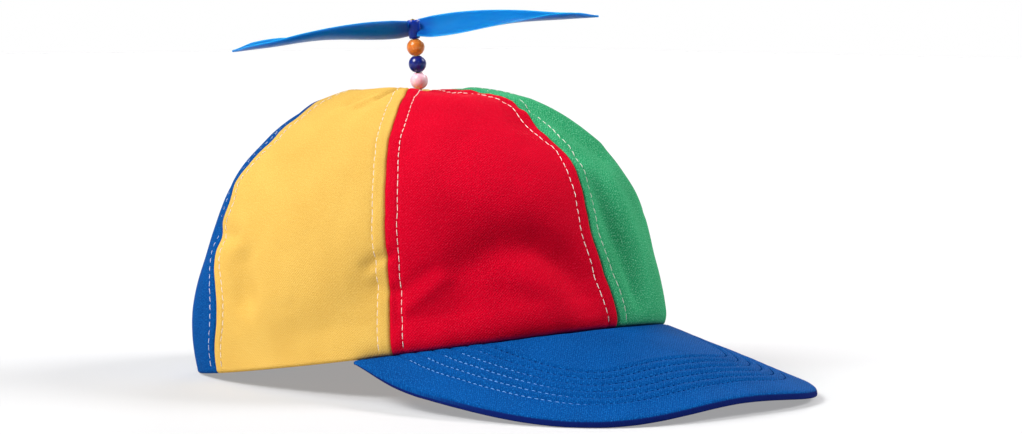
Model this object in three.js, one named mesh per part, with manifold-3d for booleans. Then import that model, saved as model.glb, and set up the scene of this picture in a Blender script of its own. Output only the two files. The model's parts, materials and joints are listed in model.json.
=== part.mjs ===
// Propeller beanie: a soft cap of six sewn panels, a stiff curved brim, and a two-blade propeller
// that turns on a pin above three beads.
// Millimetres, +Z up. The wearer looks towards -Y, and the wearer's left is +X.
// The cap lies as it lies on a table: on the back of its hem and the two front corners of its brim.
// The origin is the bottom middle of the whole part.

import * as THREE from 'three';
import { mergeVertices } from 'three/addons/utils/BufferGeometryUtils.js';
import Module from 'manifold-3d';

// Head opening, on the outside of the cloth
const rimHalfLength = 99;
const rimHalfWidth = 85.5;
const rimSideDip = 3.6;
const eggShare = 0.027;
const squareShare = 0.018;

// Crown
const crownHeight = 106;
const apexSetback = 0.8;
const panelCount = 6;
const clothThickness = 1.5;
const hemThickness = 2.6;
const hemHeight = 22;
const seamGap = 0.3;
const foldDepth = 3;
const hemSag = 2.2;
const sagHeight = 0.3;

// Brim
const brimLength = 62;
const brimHalfWidth = 87;
const brimShoulder = 33;
const brimSquareness = 3.25;
const brimHalfSpan = THREE.MathUtils.degToRad(70);
const brimDroop = 30;
const brimSideRise = 1.2;
const brimTwist = 1;
const brimThickness = 3.2;
const brimEndWidth = 1.6;
const brimTuckLength = 42;
const brimEdgeRound = 2.4;

// Beads
const beadDiameter = 7.2;
const beadBoreRadius = 1.3;
const beadSides = 14;

// Pin that carries the beads and the propeller, leaning a little in the soft crown
const pinRadius = 1;
const pinLeanForward = THREE.MathUtils.degToRad(6);
const pinLeanRight = THREE.MathUtils.degToRad(6.3);
const washerRadius = 5;
const washerThickness = 1.2;
const pinHeadRadius = 1.9;
const pinHeadHeight = 1;
const pinSides = 12;

// Propeller
const propellerSpan = 155;
const propellerTurn = THREE.MathUtils.degToRad(-50.4);
const bladeChord = 17.6;
const bladeThickness = 1.3;
const bladeCamber = 1.5;
const bladeBow = 1.6;
const hubRadius = 2.5;
const hubHeight = 7.4;
const hubSides = 16;

// Room between pieces that touch or turn
const clearance = 0.3;

// How far the wall stands out from a plain dome at each height, as a share of the dome's radius
const fullness = [
  { climb: 0, front: 1, side: 1, back: 1 },
  { climb: 1 / 6, front: 0.995, side: 1.025, back: 1.1 },
  { climb: 2 / 6, front: 1.04, side: 1.062, back: 1.1 },
  { climb: 3 / 6, front: 1.045, side: 1.085, back: 1.12 },
  { climb: 4 / 6, front: 1.045, side: 1.06, back: 1.125 },
  { climb: 5 / 6, front: 1.005, side: 1.03, back: 1.06 },
  { climb: 1, front: 1, side: 1, back: 1 },
];

// Dents and folds of the cloth. Azimuth runs from the front towards the wearer's left, in degrees.
// Climb is the share of the way from hem to apex. Wide and tall are shares of the crown's height,
// lean turns the dent in degrees, and depth is a share of the fold depth, negative for a swelling.
const folds = [
  { azimuth: -30, climb: 0.265, wide: 0.17, tall: 0.075, lean: -8, depth: 0.6 },
  { azimuth: -14, climb: 0.185, wide: 0.17, tall: 0.075, lean: -42, depth: 0.75 },
  { azimuth: -16, climb: 0.4, wide: 0.26, tall: 0.16, lean: 0, depth: -0.5 },
  { azimuth: -42, climb: 0.15, wide: 0.22, tall: 0.12, lean: 20, depth: 0.6 },
  { azimuth: -63, climb: 0.17, wide: 0.11, tall: 0.09, lean: 0, depth: 0.75 },
  { azimuth: -73, climb: 0.11, wide: 0.16, tall: 0.09, lean: 25, depth: 0.45 },
  { azimuth: -107, climb: 0.18, wide: 0.12, tall: 0.12, lean: 0, depth: 0.7 },
  { azimuth: -75, climb: 0.72, wide: 0.15, tall: 0.06, lean: 32, depth: 0.5 },
  { azimuth: 4, climb: 0.25, wide: 0.075, tall: 0.2, lean: -6, depth: 0.8 },
  { azimuth: 17, climb: 0.5, wide: 0.08, tall: 0.16, lean: 20, depth: 0.55 },
  { azimuth: -1, climb: 0.56, wide: 0.1, tall: 0.085, lean: 0, depth: 0.95 },
  { azimuth: 6, climb: 0.81, wide: 0.1, tall: 0.08, lean: 0, depth: -0.35 },
  { azimuth: -30, climb: 0.84, wide: 0.14, tall: 0.09, lean: 0, depth: 0.55 },
  { azimuth: -112, climb: 0.84, wide: 0.3, tall: 0.17, lean: 0, depth: -0.8 },
  { azimuth: 62, climb: 0.2, wide: 0.12, tall: 0.12, lean: 12, depth: 0.7 },
  { azimuth: 92, climb: 0.3, wide: 0.2, tall: 0.09, lean: -18, depth: 0.6 },
  { azimuth: 118, climb: 0.55, wide: 0.09, tall: 0.13, lean: 0, depth: 0.6 },
  { azimuth: 151, climb: 0.26, wide: 0.18, tall: 0.09, lean: 14, depth: 0.65 },
  { azimuth: -178, climb: 0.6, wide: 0.1, tall: 0.12, lean: 0, depth: 0.6 },
  { azimuth: -150, climb: 0.36, wide: 0.16, tall: 0.1, lean: -20, depth: 0.5 },
  { azimuth: -142, climb: 0.03, wide: 0.24, tall: 0.22, lean: 0, depth: -2.3 },
  { azimuth: 142, climb: 0.03, wide: 0.24, tall: 0.22, lean: 0, depth: -1.6 },
];

// The propeller's blade from hub to tip: chord, thickness and bow as shares of the named sizes
const bladeStations = [
  { reach: 0.02, chord: 0.52, pitch: 38, thickness: 1, bow: 0 },
  { reach: 0.1, chord: 0.74, pitch: 35, thickness: 1, bow: 0 },
  { reach: 0.25, chord: 0.95, pitch: 28, thickness: 0.9, bow: 0.2 },
  { reach: 0.42, chord: 1, pitch: 20, thickness: 0.8, bow: 0.4 },
  { reach: 0.6, chord: 0.96, pitch: 11, thickness: 0.75, bow: 0.3 },
  { reach: 0.78, chord: 0.84, pitch: -3, thickness: 0.7, bow: -0.3 },
  { reach: 0.9, chord: 0.64, pitch: -9, thickness: 0.65, bow: -0.9 },
  { reach: 1, chord: 0.1, pitch: -12, thickness: 0.6, bow: -1.6 },
];

// The panels in order round the crown from the front, towards the wearer's left
const panels = [
  { name: 'panel_front_left', colour: '#2fa066' },
  { name: 'panel_side_left', colour: '#dd0a2a' },
  { name: 'panel_back_left', colour: '#f8c55c' },
  { name: 'panel_back_right', colour: '#1259ae' },
  { name: 'panel_side_right', colour: '#f8c55c' },
  { name: 'panel_front_right', colour: '#dd0a2a' },
];

// The beads from the crown upwards
const beads = [
  { name: 'bead_pink', colour: '#f0a5b9' },
  { name: 'bead_navy', colour: '#142a7a' },
  { name: 'bead_orange', colour: '#e98a2f' },
];

// Smoothness of the meshes
const panelColumns = 14;
const panelRows = 18;
const brimColumns = 40;
const brimRows = 8;
const bladeRows = 20;
const bladeColumns = 5;

const wasm = await Module();
wasm.setup();

// Smooth curve through evenly spaced rows of a table column, level at both ends
function alongColumn(rows, column, share) {
  const last = rows.length - 1;
  const place = THREE.MathUtils.clamp(share, 0, 1) * last;
  const k = Math.min(Math.floor(place), last - 1);
  const before = rows[k === 0 ? 1 : k - 1][column];
  const after = rows[k + 2 > last ? last - 1 : k + 2][column];
  return catmull(before, rows[k][column], rows[k + 1][column], after, place - k);
}

// Catmull-Rom curve between b and c
function catmull(a, b, c, d, t) {
  const linear = (c - a) * t;
  const square = (2 * a - 5 * b + 4 * c - d) * t * t;
  const cube = (3 * b - a - 3 * c + d) * t * t * t;
  return 0.5 * (2 * b + linear + square + cube);
}

// Smooth curve through unevenly spaced rows of the blade's table
function betweenStations(rows, column, reach) {
  let k = 0;
  while (k < rows.length - 2 && reach > rows[k + 1].reach) k += 1;
  const span = rows[k + 1].reach - rows[k].reach;
  const t = THREE.MathUtils.clamp((reach - rows[k].reach) / span, 0, 1);
  const before = rows[Math.max(k - 1, 0)][column];
  const after = rows[Math.min(k + 2, rows.length - 1)][column];
  return catmull(before, rows[k][column], rows[k + 1][column], after, t);
}

// Point of the rim's egg-shaped outline
function rimOutline(azimuth) {
  const egg = eggShare * (Math.cos(3 * azimuth) - Math.cos(azimuth));
  const square = squareShare * (1 - Math.cos(4 * azimuth));
  const swell = 1 + egg + square;
  return new THREE.Vector2(
    rimHalfWidth * Math.sin(azimuth) * swell,
    -rimHalfLength * Math.cos(azimuth) * swell,
  );
}

// How far the rim lies below its front and back at distance x from the middle
function rimDip(x) {
  return rimSideDip * (x / rimHalfWidth) ** 2;
}

// Crown wall without its folds: a dome over the rim, filled out by the fullness table
function smoothCrown(azimuth, climb) {
  const front = Math.max(Math.cos(azimuth), 0) ** 2;
  const back = Math.max(-Math.cos(azimuth), 0) ** 2;
  const side = Math.sin(azimuth) ** 2;
  const full = front * alongColumn(fullness, 'front', climb)
    + side * alongColumn(fullness, 'side', climb)
    + back * alongColumn(fullness, 'back', climb);
  const rise = climb * Math.PI / 2;
  const reach = full * Math.cos(rise);
  const lift = full * Math.sin(rise);
  const rim = rimOutline(azimuth);
  const dip = rimDip(rim.x) * (1 - Math.min(lift, 1));
  return new THREE.Vector3(
    rim.x * reach,
    rim.y * reach + apexSetback * lift * lift,
    crownHeight * lift - dip,
  );
}

// Direction straight out of the crown wall
function crownNormal(azimuth, climb) {
  const step = 1e-4;
  const low = Math.max(climb - step, 0);
  const high = Math.min(climb + step, 1 - step);
  const across = smoothCrown(azimuth + step, Math.min(climb, 1 - step));
  across.sub(smoothCrown(azimuth - step, Math.min(climb, 1 - step)));
  const upward = smoothCrown(azimuth, high).sub(smoothCrown(azimuth, low));
  return across.cross(upward).normalize();
}

// Depth of all dents at a point of the crown, as a bell-shaped hollow round each one.
// They die away at the apex, and at the hem where the brim is sewn on.
function dentDepth(azimuth, climb) {
  const overBrim = 1 - THREE.MathUtils.smoothstep(-Math.cos(azimuth), -0.2, 0.1);
  const hemFade = 1 - overBrim * Math.max(1 - climb / 0.08, 0);
  const apexFade = Math.min((1 - climb) / 0.1, 1);
  let depth = 0;
  for (const fold of folds) {
    const turn = azimuth - THREE.MathUtils.degToRad(fold.azimuth);
    const wrapped = Math.atan2(Math.sin(turn), Math.cos(turn));
    const across = wrapped * Math.cos(climb * Math.PI / 2) * rimHalfWidth / crownHeight;
    const upward = (climb - fold.climb) * Math.PI / 2;
    const lean = THREE.MathUtils.degToRad(fold.lean);
    const wide = (across * Math.cos(lean) + upward * Math.sin(lean)) / fold.wide;
    const tall = (upward * Math.cos(lean) - across * Math.sin(lean)) / fold.tall;
    depth += fold.depth * foldDepth * Math.exp(-wide * wide - tall * tall);
  }
  return depth * hemFade * apexFade;
}

// The hem's outer and inner face: thicker near the rim, where the cloth is turned up
function wallThickness(climb) {
  const height = climb * crownHeight * Math.PI / 2;
  const fade = THREE.MathUtils.smoothstep(height, hemHeight * 0.6, hemHeight);
  return THREE.MathUtils.lerp(hemThickness, clothThickness, fade);
}

// Point of the crown at a depth into the wall, before the hem settles on the table
function crownPoint(azimuth, climb, depth) {
  const normal = crownNormal(azimuth, climb);
  const inward = dentDepth(azimuth, climb) + depth;
  return smoothCrown(azimuth, climb).addScaledVector(normal, -inward);
}

// Closed solid between two matching grids of points. Seen from outside, the face's first index
// runs to the right and its second runs up.
function slab(face, back) {
  const columns = face.length - 1;
  const rows = face[0].length - 1;
  const positions = [];
  for (const grid of [face, back]) {
    for (const column of grid) {
      for (const point of column) positions.push(point.x, point.y, point.z);
    }
  }
  const f = (i, j) => i * (rows + 1) + j;
  const b = (i, j) => (columns + 1) * (rows + 1) + f(i, j);
  const indices = [];
  const quad = (p, q, r, s) => indices.push(p, q, r, p, r, s);
  for (let i = 0; i < columns; i += 1) {
    for (let j = 0; j < rows; j += 1) {
      quad(f(i, j), f(i + 1, j), f(i + 1, j + 1), f(i, j + 1));
      quad(b(i, j), b(i, j + 1), b(i + 1, j + 1), b(i + 1, j));
    }
    quad(f(i, 0), b(i, 0), b(i + 1, 0), f(i + 1, 0));
    quad(f(i, rows), f(i + 1, rows), b(i + 1, rows), b(i, rows));
  }
  for (let j = 0; j < rows; j += 1) {
    quad(f(0, j), f(0, j + 1), b(0, j + 1), b(0, j));
    quad(f(columns, j), b(columns, j), b(columns, j + 1), f(columns, j + 1));
  }
  const geometry = new THREE.BufferGeometry();
  geometry.setAttribute('position', new THREE.Float32BufferAttribute(positions, 3));
  geometry.setIndex(indices);
  geometry.computeVertexNormals();
  return geometry;
}

// Grid of points, one function call for each crossing
function grid(columns, rows, point) {
  const across = Array.from({ length: columns + 1 }, (_, i) => i / columns);
  const upward = Array.from({ length: rows + 1 }, (_, j) => j / rows);
  return across.map((u) => upward.map((v) => point(u, v)));
}

// Solid of revolution about Z from a profile of radius and height pairs
function turned(profile, sides) {
  const points = profile.map(([radius, height]) => new THREE.Vector2(radius, height));
  const geometry = new THREE.LatheGeometry(points, sides);
  geometry.rotateX(Math.PI / 2);
  return welded(geometry);
}

// The same geometry with its shared vertices merged and no normals or UVs
function welded(geometry) {
  geometry.deleteAttribute('normal');
  geometry.deleteAttribute('uv');
  return mergeVertices(geometry, 1e-4);
}

// A mesh as a manifold solid
function solid(geometry) {
  const merged = welded(geometry);
  return new wasm.Manifold(new wasm.Mesh({
    numProp: 3,
    vertProperties: new Float32Array(merged.attributes.position.array),
    triVerts: new Uint32Array(merged.index.array),
  }));
}

// A manifold solid as a mesh
function geometryOf(manifold) {
  const mesh = manifold.getMesh();
  const geometry = new THREE.BufferGeometry();
  geometry.setAttribute('position', new THREE.Float32BufferAttribute(mesh.vertProperties, 3));
  geometry.setIndex(Array.from(mesh.triVerts));
  geometry.computeVertexNormals();
  return geometry;
}

// Brim

// Right half of the brim's outer edge in plan, from the middle of its front to its corner on the rim:
// a rounded rectangle whose side is tucked in towards the corner
function brimOutline() {
  const power = 2 / brimSquareness;
  const reach = rimHalfLength + brimLength - brimShoulder;
  const corner = rimOutline(brimHalfSpan);
  const tuck = brimHalfWidth - corner.x - brimEndWidth;
  const points = [];
  for (let k = 0; k <= 60; k += 1) {
    const turn = k / 60 * Math.PI / 2;
    const forward = Math.max(Math.cos(turn), 0) ** power;
    const nearEnd = Math.max(1 - forward * reach / brimTuckLength, 0);
    const x = brimHalfWidth * Math.sin(turn) ** power - tuck * nearEnd ** 1.5;
    const y = -brimShoulder - reach * forward + (corner.y + brimShoulder) * nearEnd;
    points.push(new THREE.Vector2(x, y));
  }
  return new THREE.SplineCurve(points);
}

const halfOutline = brimOutline();

// Point of the brim's outer edge, side running from -1 at one corner to 1 at the other
function brimEdge(side) {
  const point = halfOutline.getPointAt(Math.abs(side));
  point.x *= Math.sign(side);
  return point;
}

// Height of the brim's upper face: level under the hem, then falling away evenly, a little less
// at the sides and on the wearer's left
function brimHeight(x, y) {
  const distance = Math.hypot(x / rimHalfWidth, y / rimHalfLength) - 1;
  const farthest = brimLength / rimHalfLength;
  const fall = Math.max(distance, 0) / farthest;
  const across = x / rimHalfWidth;
  const lift = brimSideRise * across * across + brimTwist * across;
  return -rimDip(x) - clearance - (brimDroop - lift) * fall;
}

// Point on the brim, from under the hem to the rounded outer edge
function brimPoint(u, v, under) {
  const side = 2 * u - 1;
  const inner = crownPoint(side * brimHalfSpan, 0, hemThickness);
  const outer = brimEdge(side);
  const length = Math.hypot(outer.x - inner.x, outer.y - inner.y);
  const roundShare = Math.min(brimEdgeRound / length, 0.5);
  const flatRows = brimRows - 2;
  const row = v * brimRows;
  const share = row <= flatRows
    ? (row / flatRows) * (1 - roundShare)
    : 1 - roundShare * [0, 0.25][brimRows - row];
  const fromEdge = (1 - share) / roundShare;
  const bulge = Math.sqrt(1 - (1 - Math.min(fromEdge, 1)) ** 2);
  const halfDepth = brimThickness / 2 * (0.4 + 0.6 * bulge);
  const x = THREE.MathUtils.lerp(inner.x, outer.x, share);
  const y = THREE.MathUtils.lerp(inner.y, outer.y, share);
  const middle = brimHeight(x, y) - brimThickness / 2;
  return new THREE.Vector3(x, y, middle + (under ? -halfDepth : halfDepth));
}

const brimTop = grid(brimColumns, brimRows, (u, v) => brimPoint(u, v, false));
const brimUnder = grid(brimColumns, brimRows, (u, v) => brimPoint(u, v, true));

// The brim's corners reach the table when the cap tips forward about the back of its hem
const hemBack = rimHalfLength * fullness[0].back;
const restTilt = Math.max(...brimUnder.flat().map((p) => Math.atan2(-p.z, hemBack - p.y)));

// Crown panels

// Height of the table under the tipped cap, in the cap's own upright frame
function tableHeight(y) {
  return (y - hemBack) * Math.tan(restTilt);
}

// The soft hem sinks at the back until it lies on the table, and no cloth goes through the table
function settled(point, azimuth, climb) {
  const above = point.z - tableHeight(point.y);
  const fade = THREE.MathUtils.smoothstep(sagHeight - climb, 0, sagHeight);
  point.z -= Math.min(above, hemSag * Math.max(-Math.cos(azimuth), 0) ** 2 * fade);
  return point;
}

// One panel between two seams, from the hem to the hole for the pin
function panelGeometry(number) {
  const width = 2 * Math.PI / panelCount;
  const holeRadius = pinRadius + clearance;
  const point = (depthShare) => (u, v) => {
    const middle = (number + u) * width;
    const topClimb = 1 - Math.asin(holeRadius / rimOutline(middle).length()) * 2 / Math.PI;
    const climb = v * topClimb;
    const radius = smoothCrown(middle, climb);
    const half = Math.asin(seamGap / 2 / Math.hypot(radius.x, radius.y - apexSetback));
    const azimuth = THREE.MathUtils.lerp(number * width + half, (number + 1) * width - half, u);
    const depth = depthShare * wallThickness(climb);
    return settled(crownPoint(azimuth, climb, depth), azimuth, climb);
  };
  return slab(grid(panelColumns, panelRows, point(0)), grid(panelColumns, panelRows, point(1)));
}

// Beads, pin and propeller, each on the pin's leaning axis through the apex

const apex = new THREE.Vector3(0, apexSetback, crownHeight);
const pinTurn = new THREE.Euler(pinLeanForward, -pinLeanRight, 0);

// Points of a crown face round the pin, from the pin's hole out to a radius, in the pin's frame
function crownRoundPin(outerRadius, depth) {
  const upright = new THREE.Quaternion().setFromEuler(pinTurn).invert();
  const points = [];
  for (let ring = 0; ring <= 8; ring += 1) {
    const radius = THREE.MathUtils.lerp(pinRadius + clearance, outerRadius, ring / 8);
    for (let k = 0; k < 36; k += 1) {
      const azimuth = k / 36 * 2 * Math.PI;
      const climb = 1 - Math.asin(radius / rimOutline(azimuth).length()) * 2 / Math.PI;
      points.push(crownPoint(azimuth, climb, depth).sub(apex).applyQuaternion(upright));
    }
  }
  return points;
}

// Height between the flats of a drilled bead
const beadRadius = beadDiameter / 2;
const beadHeight = 2 * Math.sqrt(beadRadius ** 2 - beadBoreRadius ** 2);
const beadPitch = beadHeight + clearance;

// Middle of the lowest bead: its round clears the cloth under it everywhere
const lowestBead = Math.max(...crownRoundPin(beadRadius, 0).map((point) => {
  const radius = Math.min(Math.hypot(point.x, point.y), beadRadius);
  return point.z + Math.sqrt(beadRadius ** 2 - radius ** 2) + clearance;
}));

// Drilled round bead, its middle at the origin
function beadGeometry() {
  const start = Math.asin(beadHeight / beadDiameter);
  const steps = 8;
  const profile = [];
  for (let k = 0; k <= steps; k += 1) {
    const angle = THREE.MathUtils.lerp(-start, start, k / steps);
    profile.push([beadRadius * Math.cos(angle), beadRadius * Math.sin(angle)]);
  }
  profile.push(profile[0]);
  return turned(profile, beadSides);
}

const hubFoot = lowestBead + (beads.length - 0.5) * beadPitch + clearance / 2;
const hubTop = hubFoot + hubHeight;

// Pin with a washer inside the crown and a domed head on top of the hub
function pinGeometry() {
  const innerFace = crownRoundPin(washerRadius + clearance, clothThickness);
  const seat = Math.min(...innerFace.map((point) => point.z)) - clearance;
  const head = hubTop + clearance;
  return turned([
    [0, seat - washerThickness],
    [washerRadius, seat - washerThickness],
    [washerRadius, seat],
    [pinRadius, seat],
    [pinRadius, head],
    [pinHeadRadius, head],
    [pinHeadRadius * 0.85, head + pinHeadHeight * 0.6],
    [pinHeadRadius * 0.45, head + pinHeadHeight * 0.93],
    [0, head + pinHeadHeight],
  ], pinSides);
}

// One thin twisted blade reaching along +X, its long edges curling up
function bladeGeometry() {
  const halfSpan = propellerSpan / 2;
  const [root, tip] = [bladeStations[0].reach, 1];
  const point = (side) => (u, v) => {
    const reach = THREE.MathUtils.lerp(root, tip, Math.sin(u * Math.PI / 2));
    const pitch = THREE.MathUtils.degToRad(betweenStations(bladeStations, 'pitch', reach));
    const chord = bladeChord * betweenStations(bladeStations, 'chord', reach);
    const across = 2 * v - 1;
    const edge = 1 - 0.6 * across ** 4;
    const thick = bladeThickness * betweenStations(bladeStations, 'thickness', reach) * edge;
    const cup = bladeCamber * (chord / bladeChord) * (across * across - 1);
    const along = across * chord / 2;
    const out = cup + side * thick / 2;
    return new THREE.Vector3(
      reach * halfSpan,
      along * Math.cos(pitch) - out * Math.sin(pitch),
      along * Math.sin(pitch) + out * Math.cos(pitch)
        + bladeBow * betweenStations(bladeStations, 'bow', reach),
    );
  };
  return slab(grid(bladeRows, bladeColumns, point(1)), grid(bladeRows, bladeColumns, point(-1)));
}

// Hub with both blades, bored for the pin
function propellerGeometry() {
  const bore = pinRadius + clearance;
  const hub = turned([
    [0, 0],
    [hubRadius * 0.8, 0],
    [hubRadius, hubHeight * 0.2],
    [hubRadius, hubHeight * 0.8],
    [hubRadius * 0.88, hubHeight * 0.95],
    [hubRadius * 0.7, hubHeight],
    [0, hubHeight],
  ], hubSides);
  const blades = [0, Math.PI].map((turn) => {
    const blade = bladeGeometry();
    blade.translate(0, 0, hubHeight / 2 + bladeCamber / 2);
    blade.rotateZ(propellerTurn + turn);
    return solid(blade);
  });
  const drill = new THREE.CylinderGeometry(bore, bore, 3 * hubHeight, pinSides);
  drill.rotateX(Math.PI / 2);
  const whole = solid(hub).add(blades[0]).add(blades[1]).subtract(solid(drill));
  const geometry = geometryOf(whole);
  geometry.translate(0, 0, hubFoot);
  return geometry;
}

// Assembly

function piece(name, geometry, colour, roughness, metalness = 0) {
  const material = new THREE.MeshStandardMaterial({ color: colour, roughness, metalness });
  const mesh = new THREE.Mesh(geometry, material);
  mesh.name = name;
  return mesh;
}

const cap = new THREE.Group();
panels.forEach(({ name, colour }, number) => {
  cap.add(piece(name, panelGeometry(number), colour, 0.9));
});
cap.add(piece('brim', slab(brimUnder, brimTop), '#1560b4', 0.9));

const stack = new THREE.Group();
stack.position.copy(apex);
stack.rotation.copy(pinTurn);
beads.forEach(({ name, colour }, level) => {
  const bead = piece(name, beadGeometry(), colour, 0.25);
  bead.position.z = lowestBead + level * beadPitch;
  stack.add(bead);
});
stack.add(piece('pin', pinGeometry(), '#c8a860', 0.35, 1));
stack.add(piece('propeller', propellerGeometry(), '#0f74c0', 0.3));
cap.add(stack);

// The cap tipped on to the table, with the origin at the bottom middle of its box
cap.rotation.x = -restTilt;
const group = new THREE.Group();
group.add(cap);
group.updateMatrixWorld(true);
const box = new THREE.Box3().setFromObject(cap, true);
cap.position.set(-(box.min.x + box.max.x) / 2, -(box.min.y + box.max.y) / 2, -box.min.z);
group.updateMatrixWorld(true);

export default group;
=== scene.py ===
"""Propeller beanie: the looks of a six-panel twill cap with a stitched brim, three pearly beads and a
thin two-blade plastic propeller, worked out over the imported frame.

Shapes are worked out in millimetres in the cap's own upright frame, where the front is -Y, and are
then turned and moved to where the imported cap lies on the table.
"""

import json
import logging
from dataclasses import dataclass
from enum import Enum

import bpy
import numpy as np
from mathutils import Matrix, Vector

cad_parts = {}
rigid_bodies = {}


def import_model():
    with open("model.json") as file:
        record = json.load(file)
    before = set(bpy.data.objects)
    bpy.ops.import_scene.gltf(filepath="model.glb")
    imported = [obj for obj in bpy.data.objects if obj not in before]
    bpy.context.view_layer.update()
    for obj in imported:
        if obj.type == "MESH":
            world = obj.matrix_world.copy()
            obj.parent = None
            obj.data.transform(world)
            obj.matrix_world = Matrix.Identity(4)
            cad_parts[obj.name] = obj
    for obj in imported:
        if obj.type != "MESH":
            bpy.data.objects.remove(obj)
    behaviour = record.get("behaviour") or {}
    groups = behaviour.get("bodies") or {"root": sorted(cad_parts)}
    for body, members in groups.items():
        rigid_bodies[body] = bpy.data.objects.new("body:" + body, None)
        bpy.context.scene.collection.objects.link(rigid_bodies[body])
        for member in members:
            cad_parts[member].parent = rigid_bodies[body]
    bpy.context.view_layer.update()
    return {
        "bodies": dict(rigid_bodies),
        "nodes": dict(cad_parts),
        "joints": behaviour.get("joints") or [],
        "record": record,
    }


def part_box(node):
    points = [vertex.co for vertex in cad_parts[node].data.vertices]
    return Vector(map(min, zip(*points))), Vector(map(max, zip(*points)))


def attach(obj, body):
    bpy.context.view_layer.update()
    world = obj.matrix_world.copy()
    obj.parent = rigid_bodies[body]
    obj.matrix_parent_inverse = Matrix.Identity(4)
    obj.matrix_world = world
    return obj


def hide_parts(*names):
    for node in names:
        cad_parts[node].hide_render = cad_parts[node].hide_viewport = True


LOG = logging.getLogger("beanie")
MM = 0.001
IMAGE_WIDTH = 1022
SENSOR_MM = 36.0


# Colour and numbers


def linear(code: str) -> tuple[float, float, float, float]:
    """Turns an sRGB hex colour into linear light.

    Args:
        code: colour as #rrggbb.

    Returns:
        Linear red, green, blue and alpha 1.
    """
    parts = [int(code[k:k + 2], 16) / 255 for k in (1, 3, 5)]
    light = [c / 12.92 if c <= 0.04045 else ((c + 0.055) / 1.055) ** 2.4 for c in parts]
    return (light[0], light[1], light[2], 1.0)


def smoothstep(value: np.ndarray, low: float, high: float) -> np.ndarray:
    """Rises from 0 at low to 1 at high, level at both ends."""
    t = np.clip((np.asarray(value, float) - low) / (high - low), 0, 1)
    return t * t * (3 - 2 * t)


def bell(value: np.ndarray, middle: float, width: float) -> np.ndarray:
    """Bell curve: one over e to the square of the distance from the middle, in widths."""
    return np.exp(-((np.asarray(value, float) - middle) / width) ** 2)


def lattice_noise(points: np.ndarray, cell: float, seed: int) -> np.ndarray:
    """Smooth noise: fixed random values on a cubic lattice, blended by a smoothstep along each axis.

    Args:
        points: array whose last axis is x, y, z in mm.
        cell: size of a lattice cell in mm.
        seed: which random values.

    Returns:
        Numbers between -1 and 1, one for each point.
    """
    table = np.random.default_rng(seed).uniform(-1, 1, (32, 32, 32))
    place = np.asarray(points, float) / cell + 16
    base = np.floor(place).astype(int)
    t = place - base
    t = t * t * (3 - 2 * t)
    total = np.zeros(place.shape[:-1])
    for corner in np.ndindex(2, 2, 2):
        i, j, k = ((base[..., a] + corner[a]) % 32 for a in range(3))
        weight = np.ones(place.shape[:-1])
        for a in range(3):
            weight = weight * (t[..., a] if corner[a] else 1 - t[..., a])
        total += weight * table[i, j, k]
    return total


def kinks(along: np.ndarray, cell: float, seed: int) -> np.ndarray:
    """Noise along a line: straight runs between fixed random values, so that it bends sharply.

    Args:
        along: distances in mm.
        cell: length of a run in mm.
        seed: which random values.

    Returns:
        Numbers between -1 and 1.
    """
    rng = np.random.default_rng(seed)
    values = rng.uniform(-1, 1, 64)
    places = (np.arange(64) + rng.uniform(-0.3, 0.3, 64)) * cell
    return np.interp(along, places, values)


def catmull(a: np.ndarray, b: np.ndarray, c: np.ndarray, d: np.ndarray, t: np.ndarray) -> np.ndarray:
    """Catmull-Rom curve from b to c, whose slopes come from the neighbours a and d.

    Args:
        a: value before b.
        b: value where t is 0.
        c: value where t is 1.
        d: value after c.
        t: share of the way.

    Returns:
        The curve's values.
    """
    linear_part = (c - a) * t
    square = (2 * a - 5 * b + 4 * c - d) * t * t
    cube = (3 * b - a - 3 * c + d) * t ** 3
    return 0.5 * (2 * b + linear_part + square + cube)


def through(places: np.ndarray, values: np.ndarray, at: np.ndarray, mirrored: bool = False) -> np.ndarray:
    """Catmull-Rom curve through a table's rows.

    Args:
        places: where each row stands.
        values: the rows' values.
        at: where the curve is wanted.
        mirrored: whether the end slopes are level, as if the table went on mirrored.

    Returns:
        The curve's values.
    """
    at = np.clip(at, places[0], places[-1])
    last = len(places) - 1
    k = np.clip(np.searchsorted(places, at, side="right") - 1, 0, last - 1)
    t = (at - places[k]) / (places[k + 1] - places[k])
    before = np.where(k == 0, 1 if mirrored else 0, k - 1)
    after = np.where(k + 2 > last, last - 1 if mirrored else last, k + 2)
    return catmull(values[before], values[k], values[k + 1], values[after], t)


# Meshes


def new_piece(name: str, points: np.ndarray, faces: list, material: bpy.types.Material,
              cloth: np.ndarray | None = None, tone: np.ndarray | None = None) -> bpy.types.Object:
    """Makes an object from points and faces.

    Args:
        name: the piece's name.
        points: corners in the row's frame, in mm.
        faces: lists of corner numbers, counter-clockwise seen from outside.
        material: the piece's finish.
        cloth: place of each corner on the flat cloth in mm, kept as attribute cloth.
        tone: one number for each corner, kept as attribute tone.

    Returns:
        The new object, smooth shaded.
    """
    mesh = bpy.data.meshes.new(name)
    mesh.from_pydata((points.reshape(-1, 3) * MM).tolist(), [], faces)
    mesh.polygons.foreach_set("use_smooth", np.ones(len(mesh.polygons), bool))
    for label, kind, key, values in (("cloth", "FLOAT_VECTOR", "vector", cloth),
                                     ("tone", "FLOAT", "value", tone)):
        if values is not None:
            layer = mesh.attributes.new(label, kind, "POINT")
            layer.data.foreach_set(key, values.reshape(-1).astype(np.float32))
    mesh.materials.append(material)
    mesh.update()
    piece = bpy.data.objects.new(name, mesh)
    bpy.context.scene.collection.objects.link(piece)
    LOG.info("%s: %d corners, %d faces", name, len(mesh.vertices), len(mesh.polygons))
    return piece


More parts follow.
